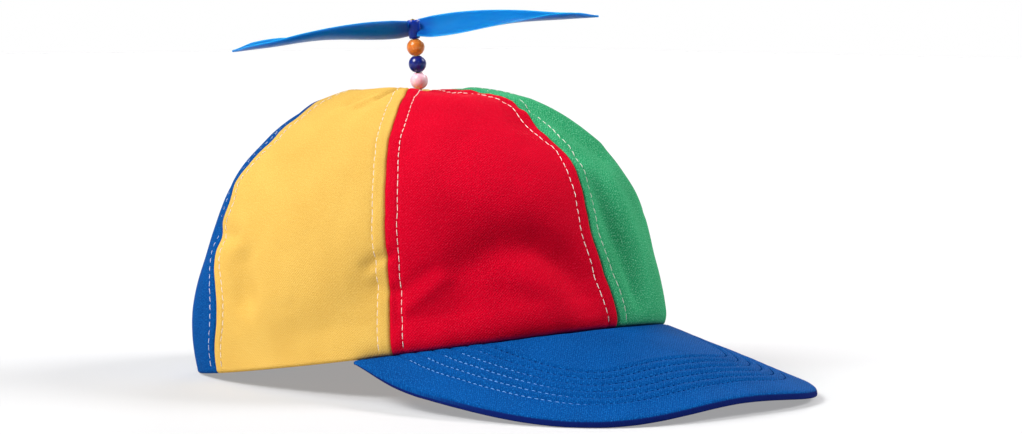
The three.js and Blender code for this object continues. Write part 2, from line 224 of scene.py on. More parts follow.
def slab_faces(columns: int, rows: int) -> list:
    """Faces of a closed slab between two matching grids of corners, the outer one first.

    Args:
        columns: corners of a grid to the right, seen from outside.
        rows: corners of a grid upwards.

    Returns:
        Quads that close the outer face, the inner face and the four rims.
    """
    number = np.arange(columns * rows).reshape(columns, rows)
    back = number + columns * rows

    def quads(a: np.ndarray, b: np.ndarray, c: np.ndarray, d: np.ndarray) -> np.ndarray:
        """Quads from four arrays of corner numbers."""
        return np.stack([a.ravel(), b.ravel(), c.ravel(), d.ravel()], -1)

    parts = [
        quads(number[:-1, :-1], number[1:, :-1], number[1:, 1:], number[:-1, 1:]),
        quads(back[:-1, :-1], back[:-1, 1:], back[1:, 1:], back[1:, :-1]),
        quads(number[:-1, 0], back[:-1, 0], back[1:, 0], number[1:, 0]),
        quads(number[:-1, -1], number[1:, -1], back[1:, -1], back[:-1, -1]),
        quads(number[0, :-1], number[0, 1:], back[0, 1:], back[0, :-1]),
        quads(number[-1, :-1], back[-1, :-1], back[-1, 1:], number[-1, 1:]),
    ]
    return np.concatenate(parts).tolist()


def turned(profile: np.ndarray, sides: int) -> tuple[np.ndarray, list]:
    """Solid of revolution: each profile pair gives a ring of that radius at that height.

    Args:
        profile: radius and height pairs, bottom to top on the outside; a radius of 0 closes an end,
            and a profile that returns to its first pair closes round a bore.
        sides: corners of a ring.

    Returns:
        Corners and faces.
    """
    looped = bool(np.allclose(profile[0], profile[-1]))
    rows = profile[:-1] if looped else profile
    angle = np.linspace(0, 2 * np.pi, sides, endpoint=False)
    ring = np.stack([np.cos(angle), np.sin(angle)], -1)
    points = np.concatenate([
        np.concatenate([ring * radius, np.full((sides, 1), height)], -1) if radius > 1e-9
        else np.array([[0.0, 0.0, height]]) for radius, height in rows])
    starts = np.concatenate([[0], np.cumsum([sides if row[0] > 1e-9 else 1 for row in rows])])
    here, following = np.arange(sides), np.roll(np.arange(sides), -1)
    faces: list = []
    pairs = [(k, k + 1) for k in range(len(rows) - 1)] + ([(len(rows) - 1, 0)] if looped else [])
    for low, high in pairs:
        a, b = starts[low], starts[high]
        if rows[low][0] <= 1e-9:
            faces += np.stack([np.full(sides, a), b + following, b + here], -1).tolist()
        elif rows[high][0] <= 1e-9:
            faces += np.stack([a + here, a + following, np.full(sides, b)], -1).tolist()
        else:
            faces += np.stack([a + here, a + following, b + following, b + here], -1).tolist()
    return points, faces


def unit(vectors: np.ndarray) -> np.ndarray:
    """Vectors brought to length 1."""
    return vectors / (np.linalg.norm(vectors, axis=-1, keepdims=True) + 1e-12)


def about(axis: str, angle: float) -> np.ndarray:
    """Matrix that turns by an angle in radians about X, Y or Z.

    Args:
        axis: the axis's letter.
        angle: the angle.

    Returns:
        The matrix.
    """
    one, two = (("XYZ".index(axis) + step) % 3 for step in (1, 2))
    matrix = np.eye(3)
    matrix[one, one] = matrix[two, two] = np.cos(angle)
    matrix[one, two], matrix[two, one] = -np.sin(angle), np.sin(angle)
    return matrix


def read_along(values: np.ndarray, along: np.ndarray, at: np.ndarray) -> np.ndarray:
    """Values of a path's points, which stand at the distances along, at other distances."""
    flat = [np.interp(at.ravel(), along, values[:, a]) for a in range(values.shape[1])]
    return np.stack(flat, -1).reshape(*at.shape, -1)


def row_by_row(targets: np.ndarray, places: np.ndarray, values: np.ndarray) -> np.ndarray:
    """Values at each row's targets, from that row's places and values."""
    return np.array([np.interp(*row) for row in zip(targets, places, values)])


@dataclass(frozen=True)
class Stitching:
    """Lockstitch: a dash of thread on the cloth between needle holes, drawn down at both ends."""

    pitch: float = 3.45
    dash: float = 3.0
    thread: float = 0.3
    lift: float = 0.1
    dive: float = 0.3
    rings: int = 7
    sides: int = 6
    # The first dash starts this far along, and each start is uneven by up to this much
    lead_in: float = 0.4
    uneven: float = 0.12
    # A needle hole's rim and foot over and under the path, and its length over its width
    hole_rim: float = 0.24
    hole_foot: float = 0.25
    hole_stretch: float = 1.7

    def rhythm(self, path: np.ndarray, seed: int) -> tuple[np.ndarray, np.ndarray, np.random.Generator]:
        """Where the dashes start along a path.

        Args:
            path: points on the cloth, in order.
            seed: which small irregularities.

        Returns:
            Distance of each point along the path, start of each dash, and the generator for more draws.
        """
        steps = np.linalg.norm(np.diff(path, axis=0), axis=1)
        along = np.concatenate([[0], np.cumsum(steps)])
        count = int((along[-1] - self.dash) / self.pitch)
        rng = np.random.default_rng(seed)
        starts = self.lead_in + self.pitch * np.arange(count)
        starts = starts + rng.uniform(-self.uneven, self.uneven, count)
        return along, starts, rng

    def dashes(self, path: np.ndarray, normals: np.ndarray, lift: np.ndarray | None = None,
               seed: int = 1) -> tuple[np.ndarray, list]:
        """Lays dashes along a path: each is a thin tube whose height over the cloth is a flat arch.

        Args:
            path: points on the cloth, in order.
            normals: direction out of the cloth at each point.
            lift: height of the thread at each point, in place of the named lift.
            seed: which small irregularities.

        Returns:
            Corners and faces of all dashes.
        """
        along, starts, rng = self.rhythm(path, seed)
        count = len(starts)
        lengths = self.dash * rng.uniform(0.9, 1.06, count)
        share = 0.5 - 0.5 * np.cos(np.linspace(0, np.pi, self.rings))
        at = starts[:, None] + share * lengths[:, None]
        out = unit(read_along(normals, along, at))
        arch = 1 - np.abs(2 * share - 1) ** 5
        rise = self.lift if lift is None else read_along(lift[:, None], along, at)[..., 0]
        height = -self.dive + (self.dive + rise) * arch
        centre = read_along(path, along, at) + out * height[..., None]
        tangent = unit(np.gradient(centre, axis=1))
        side = unit(np.cross(tangent, out))
        over = np.cross(side, tangent)
        turn = np.linspace(0, 2 * np.pi, self.sides, endpoint=False)
        radius = self.thread / 2 * (0.6 + 0.4 * np.sin(np.pi * share) ** 0.4)
        ring = side[:, :, None] * np.cos(turn)[:, None] + over[:, :, None] * np.sin(turn)[:, None]
        corners = centre[:, :, None] + ring * radius[:, None, None]
        number = np.arange(self.rings * self.sides).reshape(self.rings, self.sides)
        step = np.roll(number, -1, axis=1)
        tube = np.stack([number[:-1], step[:-1], step[1:], number[1:]], -1).reshape(-1, 4)
        block = self.rings * self.sides
        shift = block * np.arange(count)
        faces = (tube[None] + shift[:, None, None]).reshape(-1, 4).tolist()
        faces += (number[0][::-1][None] + shift[:, None]).tolist()
        faces += (number[-1][None] + shift[:, None]).tolist()
        return corners.reshape(-1, 3), faces

    def holes(self, path: np.ndarray, normals: np.ndarray, radius: np.ndarray,
              seed: int = 1) -> tuple[np.ndarray, list]:
        """Cones for the painted shade in the needle holes: a shallow six-sided cone in each gap between two
        dashes, its point down.

        Args:
            path: points on the cloth, in order.
            normals: direction out of the cloth at each point.
            radius: radius of a hole at each point.
            seed: which small irregularities, the same as for the dashes.

        Returns:
            Corners and faces of all holes.
        """
        along, starts, _ = self.rhythm(path, seed)
        middle = starts - (self.pitch - self.dash) / 2
        at = read_along(path, along, middle)
        out = unit(read_along(normals, along, middle))
        tangent = unit(read_along(path, along, middle + 0.2) - at)
        side = unit(np.cross(tangent, out))
        sides, count = self.sides, len(starts)
        turn = np.linspace(0, 2 * np.pi, sides, endpoint=False)
        ring = side[:, None] * np.sin(turn)[:, None]
        ring = ring + tangent[:, None] * np.cos(turn)[:, None] * self.hole_stretch
        wide = np.interp(middle, along, radius)[:, None, None]
        rim = at[:, None] + ring * wide + out[:, None] * self.hole_rim
        foot = (at - out * self.hole_foot)[:, None]
        corners = np.concatenate([rim, foot], 1)
        number, following = np.arange(sides), np.roll(np.arange(sides), -1)
        cone = np.stack([following, number, np.full(sides, sides)], -1)
        shift = (sides + 1) * np.arange(count)
        faces = (cone[None] + shift[:, None, None]).reshape(-1, 3).tolist()
        faces += (number[None] + shift[:, None]).tolist()
        return corners.reshape(-1, 3), faces


def joined(parts: list) -> tuple[np.ndarray, list]:
    """Joins several sets of corners and faces into one.

    Args:
        parts: pairs of corners and faces.

    Returns:
        All corners, and all faces with their numbers moved on.
    """
    corners, faces, start = [], [], 0
    for points, polygons in parts:
        corners.append(points)
        faces += [[number + start for number in polygon] for polygon in polygons]
        start += len(points)
    return np.concatenate(corners), faces


# Finishes


def add(tree: bpy.types.NodeTree, kind: str, settings: dict | None = None,
        links: dict | None = None) -> bpy.types.Node:
    """Adds a node with its settings and links.

    Args:
        tree: the material's node tree.
        kind: the node's type.
        settings: values by property name, or by socket name or number.
        links: output sockets by input name or number.

    Returns:
        The new node.
    """
    node = tree.nodes.new(kind)
    for key, value in (settings or {}).items():
        if isinstance(key, str) and hasattr(node, key):
            setattr(node, key, value)
        else:
            node.inputs[key].default_value = value
    for key, source in (links or {}).items():
        tree.links.new(source, node.inputs[key])
    return node


def bands(period: float) -> float:
    """Scale of a band wave: pi over ten, over the distance from band to band."""
    return np.pi / 10 / period


@dataclass(frozen=True)
class Finish:
    """A procedural finish; each kind adds its own nodes."""

    name: str

    def nodes(self, tree: bpy.types.NodeTree) -> bpy.types.Node:
        """Adds the finish's nodes and gives its shader."""
        raise NotImplementedError

    def build(self) -> bpy.types.Material:
        """Makes the material and joins the finish's shader to its output.

        Returns:
            The material.
        """
        material = bpy.data.materials.new(self.name)
        material.use_nodes = True
        tree = material.node_tree
        tree.nodes.clear()
        output = tree.nodes.new("ShaderNodeOutputMaterial")
        tree.links.new(self.nodes(tree).outputs["BSDF"], output.inputs["Surface"])
        return material


@dataclass(frozen=True)
class TwillFinish(Finish):
    """Cotton twill, piece-dyed: matt, with slanting ribs, a soft sheen and a few pale fibres."""

    colour: str
    # Darker colour for the uneven dye and the fluff, and for the painted shade between the wales
    shade: str
    fibre: str
    speckle: float
    # Painted shade colour, which attribute tone brings in from 0 to 1: under the brim, along its lower edge
    # and at the hem's foot
    lining: str = "#0b1a57"
    # Real wales lie about 0.5 mm apart; they are drawn at this distance so that the render shows them
    wale: float = 0.8
    # The ribs climb to the right at this angle
    wale_deg: float = 38.0
    weave_depth: float = 0.11

    def nodes(self, tree: bpy.types.NodeTree) -> bpy.types.Node:
        """Adds wale bands and yarn bumps on the cloth's own place, and speckled dye.

        Args:
            tree: the material's node tree.

        Returns:
            The shader.
        """
        place = add(tree, "ShaderNodeAttribute", {"attribute_name": "cloth"}).outputs["Vector"]
        solid = add(tree, "ShaderNodeTexCoord").outputs["Object"]
        # Wales: bands across a slanted axis, one band to each wale
        slanted = add(tree, "ShaderNodeMapping", {"Rotation": (0, 0, np.radians(90 - self.wale_deg))},
                      {"Vector": place})
        wales = add(tree, "ShaderNodeTexWave",
                    {"wave_type": "BANDS", "bands_direction": "X", "wave_profile": "SIN",
                     "Scale": bands(self.wale), "Distortion": 0.7, "Detail": 1.0, "Detail Scale": 1.4},
                    {"Vector": slanted.outputs["Vector"]})
        # Yarns: shorter bumps across each wale
        yarn = add(tree, "ShaderNodeTexWave",
                   {"wave_type": "BANDS", "bands_direction": "Y", "wave_profile": "SIN",
                    "Scale": bands(self.wale * 0.77), "Distortion": 0.6, "Detail": 0.0},
                   {"Vector": place})
        weave = add(tree, "ShaderNodeMath", {"operation": "MULTIPLY_ADD", 1: 0.45},
                    {0: yarn.outputs["Fac"], 2: wales.outputs["Fac"]})
        # Fibres: fine fluff that breaks up the weave
        fluff = add(tree, "ShaderNodeTexNoise", {"Scale": 1.9, "Detail": 3.0, "Roughness": 0.7},
                    {"Vector": place})
        dye = add(tree, "ShaderNodeTexNoise", {"Scale": 55.0, "Detail": 2.0, "Roughness": 0.5},
                  {"Vector": solid})
        height = add(tree, "ShaderNodeMath", {"operation": "MULTIPLY_ADD", 1: 1.8},
                     {0: fluff.outputs["Fac"], 2: weave.outputs["Value"]})
        bump = add(tree, "ShaderNodeBump", {"Strength": 0.6, "Distance": self.weave_depth * MM},
                   {"Height": height.outputs["Value"]})
        # Colour: the dye a little uneven, painted shade between the wales, with pale fibre ends
        groove = add(tree, "ShaderNodeMapRange", {"From Min": 0.1, "From Max": 0.9, "To Min": 0.24,
                                                  "To Max": 0.0}, {"Value": wales.outputs["Fac"]})
        grain = add(tree, "ShaderNodeMapRange", {"From Min": 0.35, "From Max": 0.65, "To Min": 0.55,
                                                 "To Max": 0.0}, {"Value": fluff.outputs["Fac"]})
        uneven = add(tree, "ShaderNodeMapRange", {"From Min": 0.3, "From Max": 0.7, "To Min": 0.0,
                                                  "To Max": 0.16}, {"Value": dye.outputs["Fac"]})
        worn = add(tree, "ShaderNodeMath", {"operation": "ADD"},
                   {0: groove.outputs["Result"], 1: grain.outputs["Result"]})
        dark = add(tree, "ShaderNodeMath", {"operation": "ADD", "use_clamp": True},
                   {0: worn.outputs["Value"], 1: uneven.outputs["Result"]})
        base = add(tree, "ShaderNodeMix", {"data_type": "RGBA", 6: linear(self.colour),
                                           7: linear(self.shade)}, {0: dark.outputs["Value"]})
        ends = add(tree, "ShaderNodeTexNoise", {"Scale": 1.7, "Detail": 1.0, "Roughness": 0.5},
                   {"Vector": place})
        pale = add(tree, "ShaderNodeMapRange", {"From Min": 0.52, "From Max": 0.74, "To Min": 0.0,
                                                "To Max": self.speckle}, {"Value": ends.outputs["Fac"]})
        tinted = add(tree, "ShaderNodeMix", {"data_type": "RGBA", 7: linear(self.fibre)},
                     {0: pale.outputs["Result"], 6: base.outputs[2]})
        # Painted shade: attribute tone mixes in the dark navy where shade falls
        far = add(tree, "ShaderNodeAttribute", {"attribute_name": "tone"}).outputs["Fac"]
        painted_shade_mix = add(tree, "ShaderNodeMix", {"data_type": "RGBA", 7: linear(self.lining)},
                    {0: far, 6: tinted.outputs[2]})
        return add(tree, "ShaderNodeBsdfPrincipled",
                   {"Roughness": 0.9, "IOR": 1.45, "Specular IOR Level": 0.03, "Sheen Weight": 0.03,
                    "Sheen Roughness": 0.4, "Sheen Tint": linear(self.colour)},
                   {"Base Color": painted_shade_mix.outputs[2], "Normal": bump.outputs["Normal"]})


@dataclass(frozen=True)
class ThreadFinish(Finish):
    """Twisted polyester sewing thread: slightly shiny, with the twist's slanting ridges."""

    colour: str
    shade: str
    gloss: float = 0.45
    # Real plies turn every 0.8 mm or so
    ply: float = 0.8

    def nodes(self, tree: bpy.types.NodeTree) -> bpy.types.Node:
        """Adds slanting bands that give the plies their relief and shade.

        Args:
            tree: the material's node tree.

        Returns:
            The shader.
        """
        solid = add(tree, "ShaderNodeTexCoord").outputs["Object"]
        plies = add(tree, "ShaderNodeTexWave",
                    {"wave_type": "BANDS", "bands_direction": "DIAGONAL",
                     "Scale": 2 * bands(self.ply * MM), "Distortion": 0.5}, {"Vector": solid})
        bump = add(tree, "ShaderNodeBump", {"Strength": 0.5, "Distance": 0.05 * MM},
                   {"Height": plies.outputs["Fac"]})
        colour = add(tree, "ShaderNodeMix", {"data_type": "RGBA", 6: linear(self.shade),
                                             7: linear(self.colour)}, {0: plies.outputs["Fac"]})
        return add(tree, "ShaderNodeBsdfPrincipled",
                   {"Roughness": 0.5, "Specular IOR Level": self.gloss, "Sheen Weight": self.gloss / 3},
                   {"Base Color": colour.outputs[2], "Normal": bump.outputs["Normal"]})


@dataclass(frozen=True)
class PearlFinish(Finish):
    """Injection-moulded pearl acrylic: glossy, with a slow cloud of pearl pigment under the surface."""

    colour: str
    light: str

    def nodes(self, tree: bpy.types.NodeTree) -> bpy.types.Node:
        """Adds a stretched noise that swirls the pigment, and a clear coat for the gloss.

        Args:
            tree: the material's node tree.

        Returns:
            The shader.
        """
        solid = add(tree, "ShaderNodeTexCoord").outputs["Object"]
        swirl = add(tree, "ShaderNodeTexNoise", {"Scale": 420.0, "Detail": 3.0, "Distortion": 1.6},
                    {"Vector": solid})
        cloud = add(tree, "ShaderNodeMapRange", {"From Min": 0.35, "From Max": 0.75},
                    {"Value": swirl.outputs["Fac"]})
        colour = add(tree, "ShaderNodeMix", {"data_type": "RGBA", 6: linear(self.colour),
                                             7: linear(self.light)}, {0: cloud.outputs["Result"]})
        return add(tree, "ShaderNodeBsdfPrincipled",
                   {"Roughness": 0.35, "IOR": 1.49, "Specular IOR Level": 0.35, "Coat Weight": 0.35,
                    "Coat Roughness": 0.06, "Subsurface Weight": 0.05, "Subsurface Scale": 0.0015},
                   {"Base Color": colour.outputs[2]})


@dataclass(frozen=True)
class MouldedPlasticFinish(Finish):
    """Thin moulded polyethylene: pale at its thin edges, where light comes through, and deep in the hub."""

    thin: str
    colour: str
    deep: str

    def nodes(self, tree: bpy.types.NodeTree) -> bpy.types.Node:
        """Adds a ramp over attribute tone, which runs from 0 at a thin edge over 0.5 to 1 in the hub.

        Args:
            tree: the material's node tree.

        Returns:
            The shader.
        """
        tone = add(tree, "ShaderNodeAttribute", {"attribute_name": "tone"}).outputs["Fac"]
        ramp = add(tree, "ShaderNodeValToRGB", {}, {"Fac": tone})
        ramp.color_ramp.elements[0].position = 0.0
        ramp.color_ramp.elements[0].color = linear(self.thin)
        ramp.color_ramp.elements[1].position = 1.0
        ramp.color_ramp.elements[1].color = linear(self.deep)
        middle = ramp.color_ramp.elements.new(0.5)
        middle.color = linear(self.colour)
        solid = add(tree, "ShaderNodeTexCoord").outputs["Object"]
        flow = add(tree, "ShaderNodeTexNoise", {"Scale": 90.0, "Detail": 2.0, "Distortion": 0.8},
                   {"Vector": solid})
        bump = add(tree, "ShaderNodeBump", {"Strength": 0.25, "Distance": 0.15 * MM},
                   {"Height": flow.outputs["Fac"]})
        gloss = add(tree, "ShaderNodeMapRange", {"From Min": 0.3, "From Max": 0.7, "To Min": 0.3,
                                                 "To Max": 0.42}, {"Value": flow.outputs["Fac"]})
        return add(tree, "ShaderNodeBsdfPrincipled",
                   {"IOR": 1.5, "Specular IOR Level": 0.22, "Subsurface Weight": 0.7,
                    "Subsurface Radius": (0.1, 0.7, 1.0), "Subsurface Scale": 0.002},
                   {"Base Color": ramp.outputs["Color"], "Roughness": gloss.outputs["Result"],
                    "Normal": bump.outputs["Normal"]})


@dataclass(frozen=True)
class BrassFinish(Finish):
    """Bright drawn brass wire: warm metal with fine lines along it."""

    colour: str

    def nodes(self, tree: bpy.types.NodeTree) -> bpy.types.Node:
        """Adds noise stretched along the pin, which roughens it in fine lines.

        Args:
            tree: the material's node tree.

        Returns:
            The shader.
        """
        solid = add(tree, "ShaderNodeTexCoord").outputs["Object"]
        drawn = add(tree, "ShaderNodeMapping", {"Scale": (4000, 4000, 200)}, {"Vector": solid})
        lines = add(tree, "ShaderNodeTexNoise", {"Scale": 1.0, "Detail": 2.0},
                    {"Vector": drawn.outputs["Vector"]})
        rough = add(tree, "ShaderNodeMapRange", {"From Min": 0.3, "From Max": 0.7, "To Min": 0.2,
                                                 "To Max": 0.38}, {"Value": lines.outputs["Fac"]})
        return add(tree, "ShaderNodeBsdfPrincipled", {"Base Color": linear(self.colour), "Metallic": 1.0},
                   {"Roughness": rough.outputs["Result"]})


@dataclass(frozen=True)
class PaperFinish(Finish):
    """Plain pale studio paper."""

    name: str = "studio_paper"
    colour: str = "#9c9c9d"
    glow: float = 0.33

    def nodes(self, tree: bpy.types.NodeTree) -> bpy.types.Node:
        """Adds a plain matt shader with a little glow.

        Args:
            tree: the material's node tree.

        Returns:
            The shader.
        """
        return add(tree, "ShaderNodeBsdfPrincipled",
                   {"Base Color": linear(self.colour), "Roughness": 0.9, "Specular IOR Level": 0.1,
                    "Emission Color": linear("#ffffff"), "Emission Strength": self.glow})


class Cloth(Enum):
    """The dyed twills and the thread of the cap, and the painted shade of the needle holes."""

    GREEN = TwillFinish("cotton_twill_green", "#37a26f", "#0d6236", "#90dcb2", 0.42)
    RED = TwillFinish("cotton_twill_red", "#d00025", "#900012", "#ec4060", 0.2)
    YELLOW = TwillFinish("cotton_twill_yellow", "#d4ae58", "#b48836", "#f2dc9e", 0.14)
    BLUE = TwillFinish("cotton_twill_blue", "#01498e", "#01285c", "#2078c0", 0.46)
    WHITE_THREAD = ThreadFinish("polyester_thread_white", "#f3ece6", "#cfc3bb")
    # Painted shade: dark blue for the cones that stand in for the shade in the needle holes
    NEEDLE_HOLE_SHADE = ThreadFinish("needle_hole_shade", "#063068", "#052753", 0.0)
    BLUE_THREAD = ThreadFinish("polyester_thread_blue", "#6aa8de", "#3f80c6")


# Cap


@dataclass
class CapForm:
    """The cap's outer form in its own upright frame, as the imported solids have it. Sizes in mm."""

    half_length: float = 99
    half_width: float = 85.5
    side_dip: float = 3.6
    egg: float = 0.027
    square: float = 0.018
    height: float = 106
    setback: float = 0.8
    cloth: float = 1.5
    hem_cloth: float = 2.6
    hem_height: float = 22
    fold_depth: float = 3
    hem_sag: float = 2.2
    sag_height: float = 0.3
    press: float = 0.45
    # The pin's washer pulls the crown down round it
    dish: float = 1.4
    rest_tilt_deg: float = 8.319123
    row_shift: tuple[float, float, float] = (0, 27.813089, 14.323962)
    lean_forward_deg: float = 6.0
    lean_right_deg: float = 6.3
    # How far the wall stands out from a plain dome at each sixth of its height: front, side, back
    fullness: tuple = (
        (1, 1, 1), (0.995, 1.025, 1.1), (1.04, 1.062, 1.1), (1.045, 1.085, 1.12),
        (1.045, 1.06, 1.125), (1.005, 1.03, 1.06), (1, 1, 1),
    )
    # Dents: azimuth, climb, wide, tall, lean, depth as a share of the fold depth
    folds: tuple = (
        (-30, 0.24, 0.17, 0.075, -8, 0.6), (-13, 0.165, 0.17, 0.075, -42, 0.75),
        (-16, 0.4, 0.26, 0.16, 0, -0.5), (-42, 0.15, 0.22, 0.12, 20, 0.6),
        (-63, 0.17, 0.11, 0.09, 0, 0.7), (-73, 0.11, 0.16, 0.09, 25, 0.25),
        (-107, 0.18, 0.12, 0.12, 0, 0.7), (-75, 0.72, 0.15, 0.06, 32, 0.5),
        (6.5, 0.25, 0.075, 0.2, -6, 0.7), (17, 0.5, 0.08, 0.16, 20, 0.55),
        (-1, 0.56, 0.1, 0.085, 0, 0.95), (6, 0.81, 0.1, 0.08, 0, -0.35),
        (-30, 0.84, 0.14, 0.09, 0, 0.55), (-112, 0.84, 0.3, 0.17, 0, -0.8),
        (62, 0.2, 0.12, 0.12, 12, 0.7), (92, 0.3, 0.2, 0.09, -18, 0.6),
        (118, 0.55, 0.09, 0.13, 0, 0.6), (151, 0.26, 0.18, 0.09, 14, 0.65),
        (-178, 0.6, 0.1, 0.12, 0, 0.6), (-150, 0.36, 0.16, 0.1, -20, 0.5),
        (-142, 0.03, 0.24, 0.22, 0, -2.3), (142, 0.03, 0.24, 0.22, 0, -1.6),
    )

    # Sharper creases: width and depth in mm, then azimuth and climb of each point of the crease's line
    creases: tuple = (
        (7, 2.4, (-40, 0.19), (-31, 0.212), (-21, 0.207), (-14.5, 0.165), (-10.5, 0.11), (-8.5, 0.05)),
        (15, 1.3, (-42, 0.13), (-30, 0.12)), (4.5, 0.8, (-32, 0.12), (-24, 0.09)),
        (14, -1.0, (-44, 0.36), (-20, 0.34)), (2.6, -0.8, (-56.5, 0.1), (-51, 0.13), (-46, 0.16)),
        (2.8, 0.9, (-57, 0.145), (-53, 0.17), (-49, 0.188)), (8, 0.6, (-50, 0.07), (-42, 0.11)),
        (2, 0.8, (-58.6, 0.07), (-58.8, 0.15)), (3, 0.8, (-44, 0.93), (-34, 0.84), (-22, 0.74)),
        (2.3, 1.5, (-59, 0.228), (-63, 0.222), (-66, 0.21)), (6.5, 0.7, (-65, 0.17), (-69, 0.145)),
        (2.2, 0.9, (-59.5, 0.145), (-61.5, 0.148), (-64, 0.165)), (6.5, 2.6, (-105.5, 0.17), (-107, 0.25)),
        (2.3, 1.5, (-70, 0.81), (-78, 0.765), (-86, 0.71)), (2.8, 1.4, (-86, 0.79), (-96, 0.73)),
        (1.3, 1.3, (-66, 0.845), (-72, 0.805), (-79, 0.765)),
        (13, 1.5, (-106, 0.06), (-84, 0.06), (-45, 0.06)),
        (5, 2.2, (20, 0.925), (48, 0.925)), (5, 1.1, (60, 0.925), (84, 0.92)),
        (5, 0.9, (-32, 0.86), (-16, 0.8), (-4, 0.76)), (6.5, 0.9, (-64, 0.885), (-85, 0.875), (-108, 0.86)),
        (8, 1.0, (-135, 0.87), (-150, 0.875), (-175, 0.88)),
        (6, -1.1, (-112, 0.79), (-120, 0.74), (-128, 0.72)),
        (4.5, 1.4, (98, 0.89), (80, 0.88), (64, 0.88)), (9, 0.6, (18, 0.82), (28, 0.78), (34, 0.74)),
        (9, 0.6, (34, 0.66), (40, 0.6)),
        (4, 1.7, (-112, 0.315), (-120, 0.32), (-127, 0.335)), (14, 0.7, (-95, 0.44), (-80, 0.3)),
        (4.5, 2.5, (7.5, 0.335), (9.5, 0.24), (11.5, 0.12), (12, 0.06)), (5, -0.8, (16, 0.34), (19, 0.16)),
        (3.5, 1.3, (11.5, 0.63), (17, 0.54), (24, 0.43)), (4, -0.9, (17.5, 0.66), (25, 0.56), (31, 0.47)),
        (3.5, -1.2, (3, 0.6), (5, 0.56), (8, 0.52)), (3.2, 1.3, (-1, 0.66), (6, 0.62)),
        (3.5, 1.3, (-1, 0.485), (5, 0.43)), (7, 0.9, (26, 0.3), (33, 0.2)),
        (6, 1.1, (60, 0.24), (74, 0.17)),
        (7, 1.0, (88, 0.34), (104, 0.25)), (6, 1.1, (128, 0.2), (140, 0.28)),
        (7, 1.0, (168, 0.5), (176, 0.43), (184, 0.36)), (6, 0.9, (-160, 0.25), (-150, 0.33)),
        (5, 0.9, (-138, 0.55), (-150, 0.47)), (6, 1.0, (78, 0.62), (92, 0.52)),
        (5, 0.8, (45, 0.5), (56, 0.4)),
    )

    def outline(self, azimuth: np.ndarray) -> tuple[np.ndarray, np.ndarray]:
        """Rim in plan: an ellipse, swollen a little into an egg and towards a square.

        Args:
            azimuth: angle from the front towards the wearer's left, in radians.

        Returns:
            x and y.
        """
        egg = self.egg * (np.cos(3 * azimuth) - np.cos(azimuth))
        swell = 1 + egg + self.square * (1 - np.cos(4 * azimuth))
        return self.half_width * np.sin(azimuth) * swell, -self.half_length * np.cos(azimuth) * swell

    def rise(self, climb: np.ndarray) -> np.ndarray:
        """Distance up the wall from the hem in mm, on a quarter circle of the crown's height."""
        return climb * self.height * np.pi / 2

    def dip(self, x: np.ndarray) -> np.ndarray:
        """How far the rim lies below its front and back at distance x from the middle."""
        return self.side_dip * (x / self.half_width) ** 2

    def smooth(self, azimuth: np.ndarray, climb: np.ndarray) -> np.ndarray:
        """Wall without folds: rim outline times the cosine of the rise, lifted by its sine, filled out.

        Args:
            azimuth: angle from the front, in radians.
            climb: share of the way from hem to apex.

        Returns:
            Points in the cap's frame.
        """
        table = np.array(self.fullness, float)
        places = np.linspace(0, 1, len(table))
        front = np.maximum(np.cos(azimuth), 0) ** 2
        back = np.maximum(-np.cos(azimuth), 0) ** 2
        side = np.sin(azimuth) ** 2
        full = sum(weight * through(places, table[:, k], climb, True)
                   for k, weight in enumerate((front, side, back)))
        reach, lift = full * np.cos(climb * np.pi / 2), full * np.sin(climb * np.pi / 2)
        x, y = self.outline(azimuth)
        dip = self.dip(x) * (1 - np.minimum(lift, 1))
        return np.stack([x * reach, y * reach + self.setback * lift * lift, self.height * lift - dip], -1)

    def normal(self, azimuth: np.ndarray, climb: np.ndarray) -> np.ndarray:
        """Direction out of the smooth wall: the step across, crossed with the step upwards.

        Args:
            azimuth: angle from the front, in radians.
            climb: share of the way from hem to apex.

        Returns:
            Unit vectors.
        """
        step = 1e-4
        level = np.minimum(climb, 1 - step)
        across = self.smooth(azimuth + step, level) - self.smooth(azimuth - step, level)
        below = np.maximum(climb - step, 0) - step * (climb < step)
        upward = self.smooth(azimuth, level) - self.smooth(azimuth, below)
        return unit(np.cross(across, upward))

    def dents(self, azimuth: np.ndarray, climb: np.ndarray) -> np.ndarray:
        """Depth of all dents: a bell-shaped hollow round each, fading at the apex and over the brim.

        Args:
            azimuth: angle from the front, in radians.
            climb: share of the way from hem to apex.

        Returns:
            Depth in mm.
        """
        over_brim = 1 - smoothstep(-np.cos(azimuth), -0.2, 0.1)
        fade = (1 - over_brim * np.maximum(1 - climb / 0.08, 0)) * np.minimum((1 - climb) / 0.1, 1)
        depth = np.zeros(np.broadcast(azimuth, climb).shape)
        for place, level, wide, tall, lean, deep in self.folds:
            turn = azimuth - np.radians(place)
            wrapped = np.arctan2(np.sin(turn), np.cos(turn))
            across = wrapped * np.cos(climb * np.pi / 2) * self.half_width / self.height
            upward = (climb - level) * np.pi / 2
            c, s = np.cos(np.radians(lean)), np.sin(np.radians(lean))
            first, second = (across * c + upward * s) / wide, (upward * c - across * s) / tall
            depth += deep * self.fold_depth * np.exp(-first ** 2 - second ** 2)
        dish = self.dish * bell(climb, 0.935, 0.05)
        return (depth + self.creased(azimuth, climb)) * fade + dish

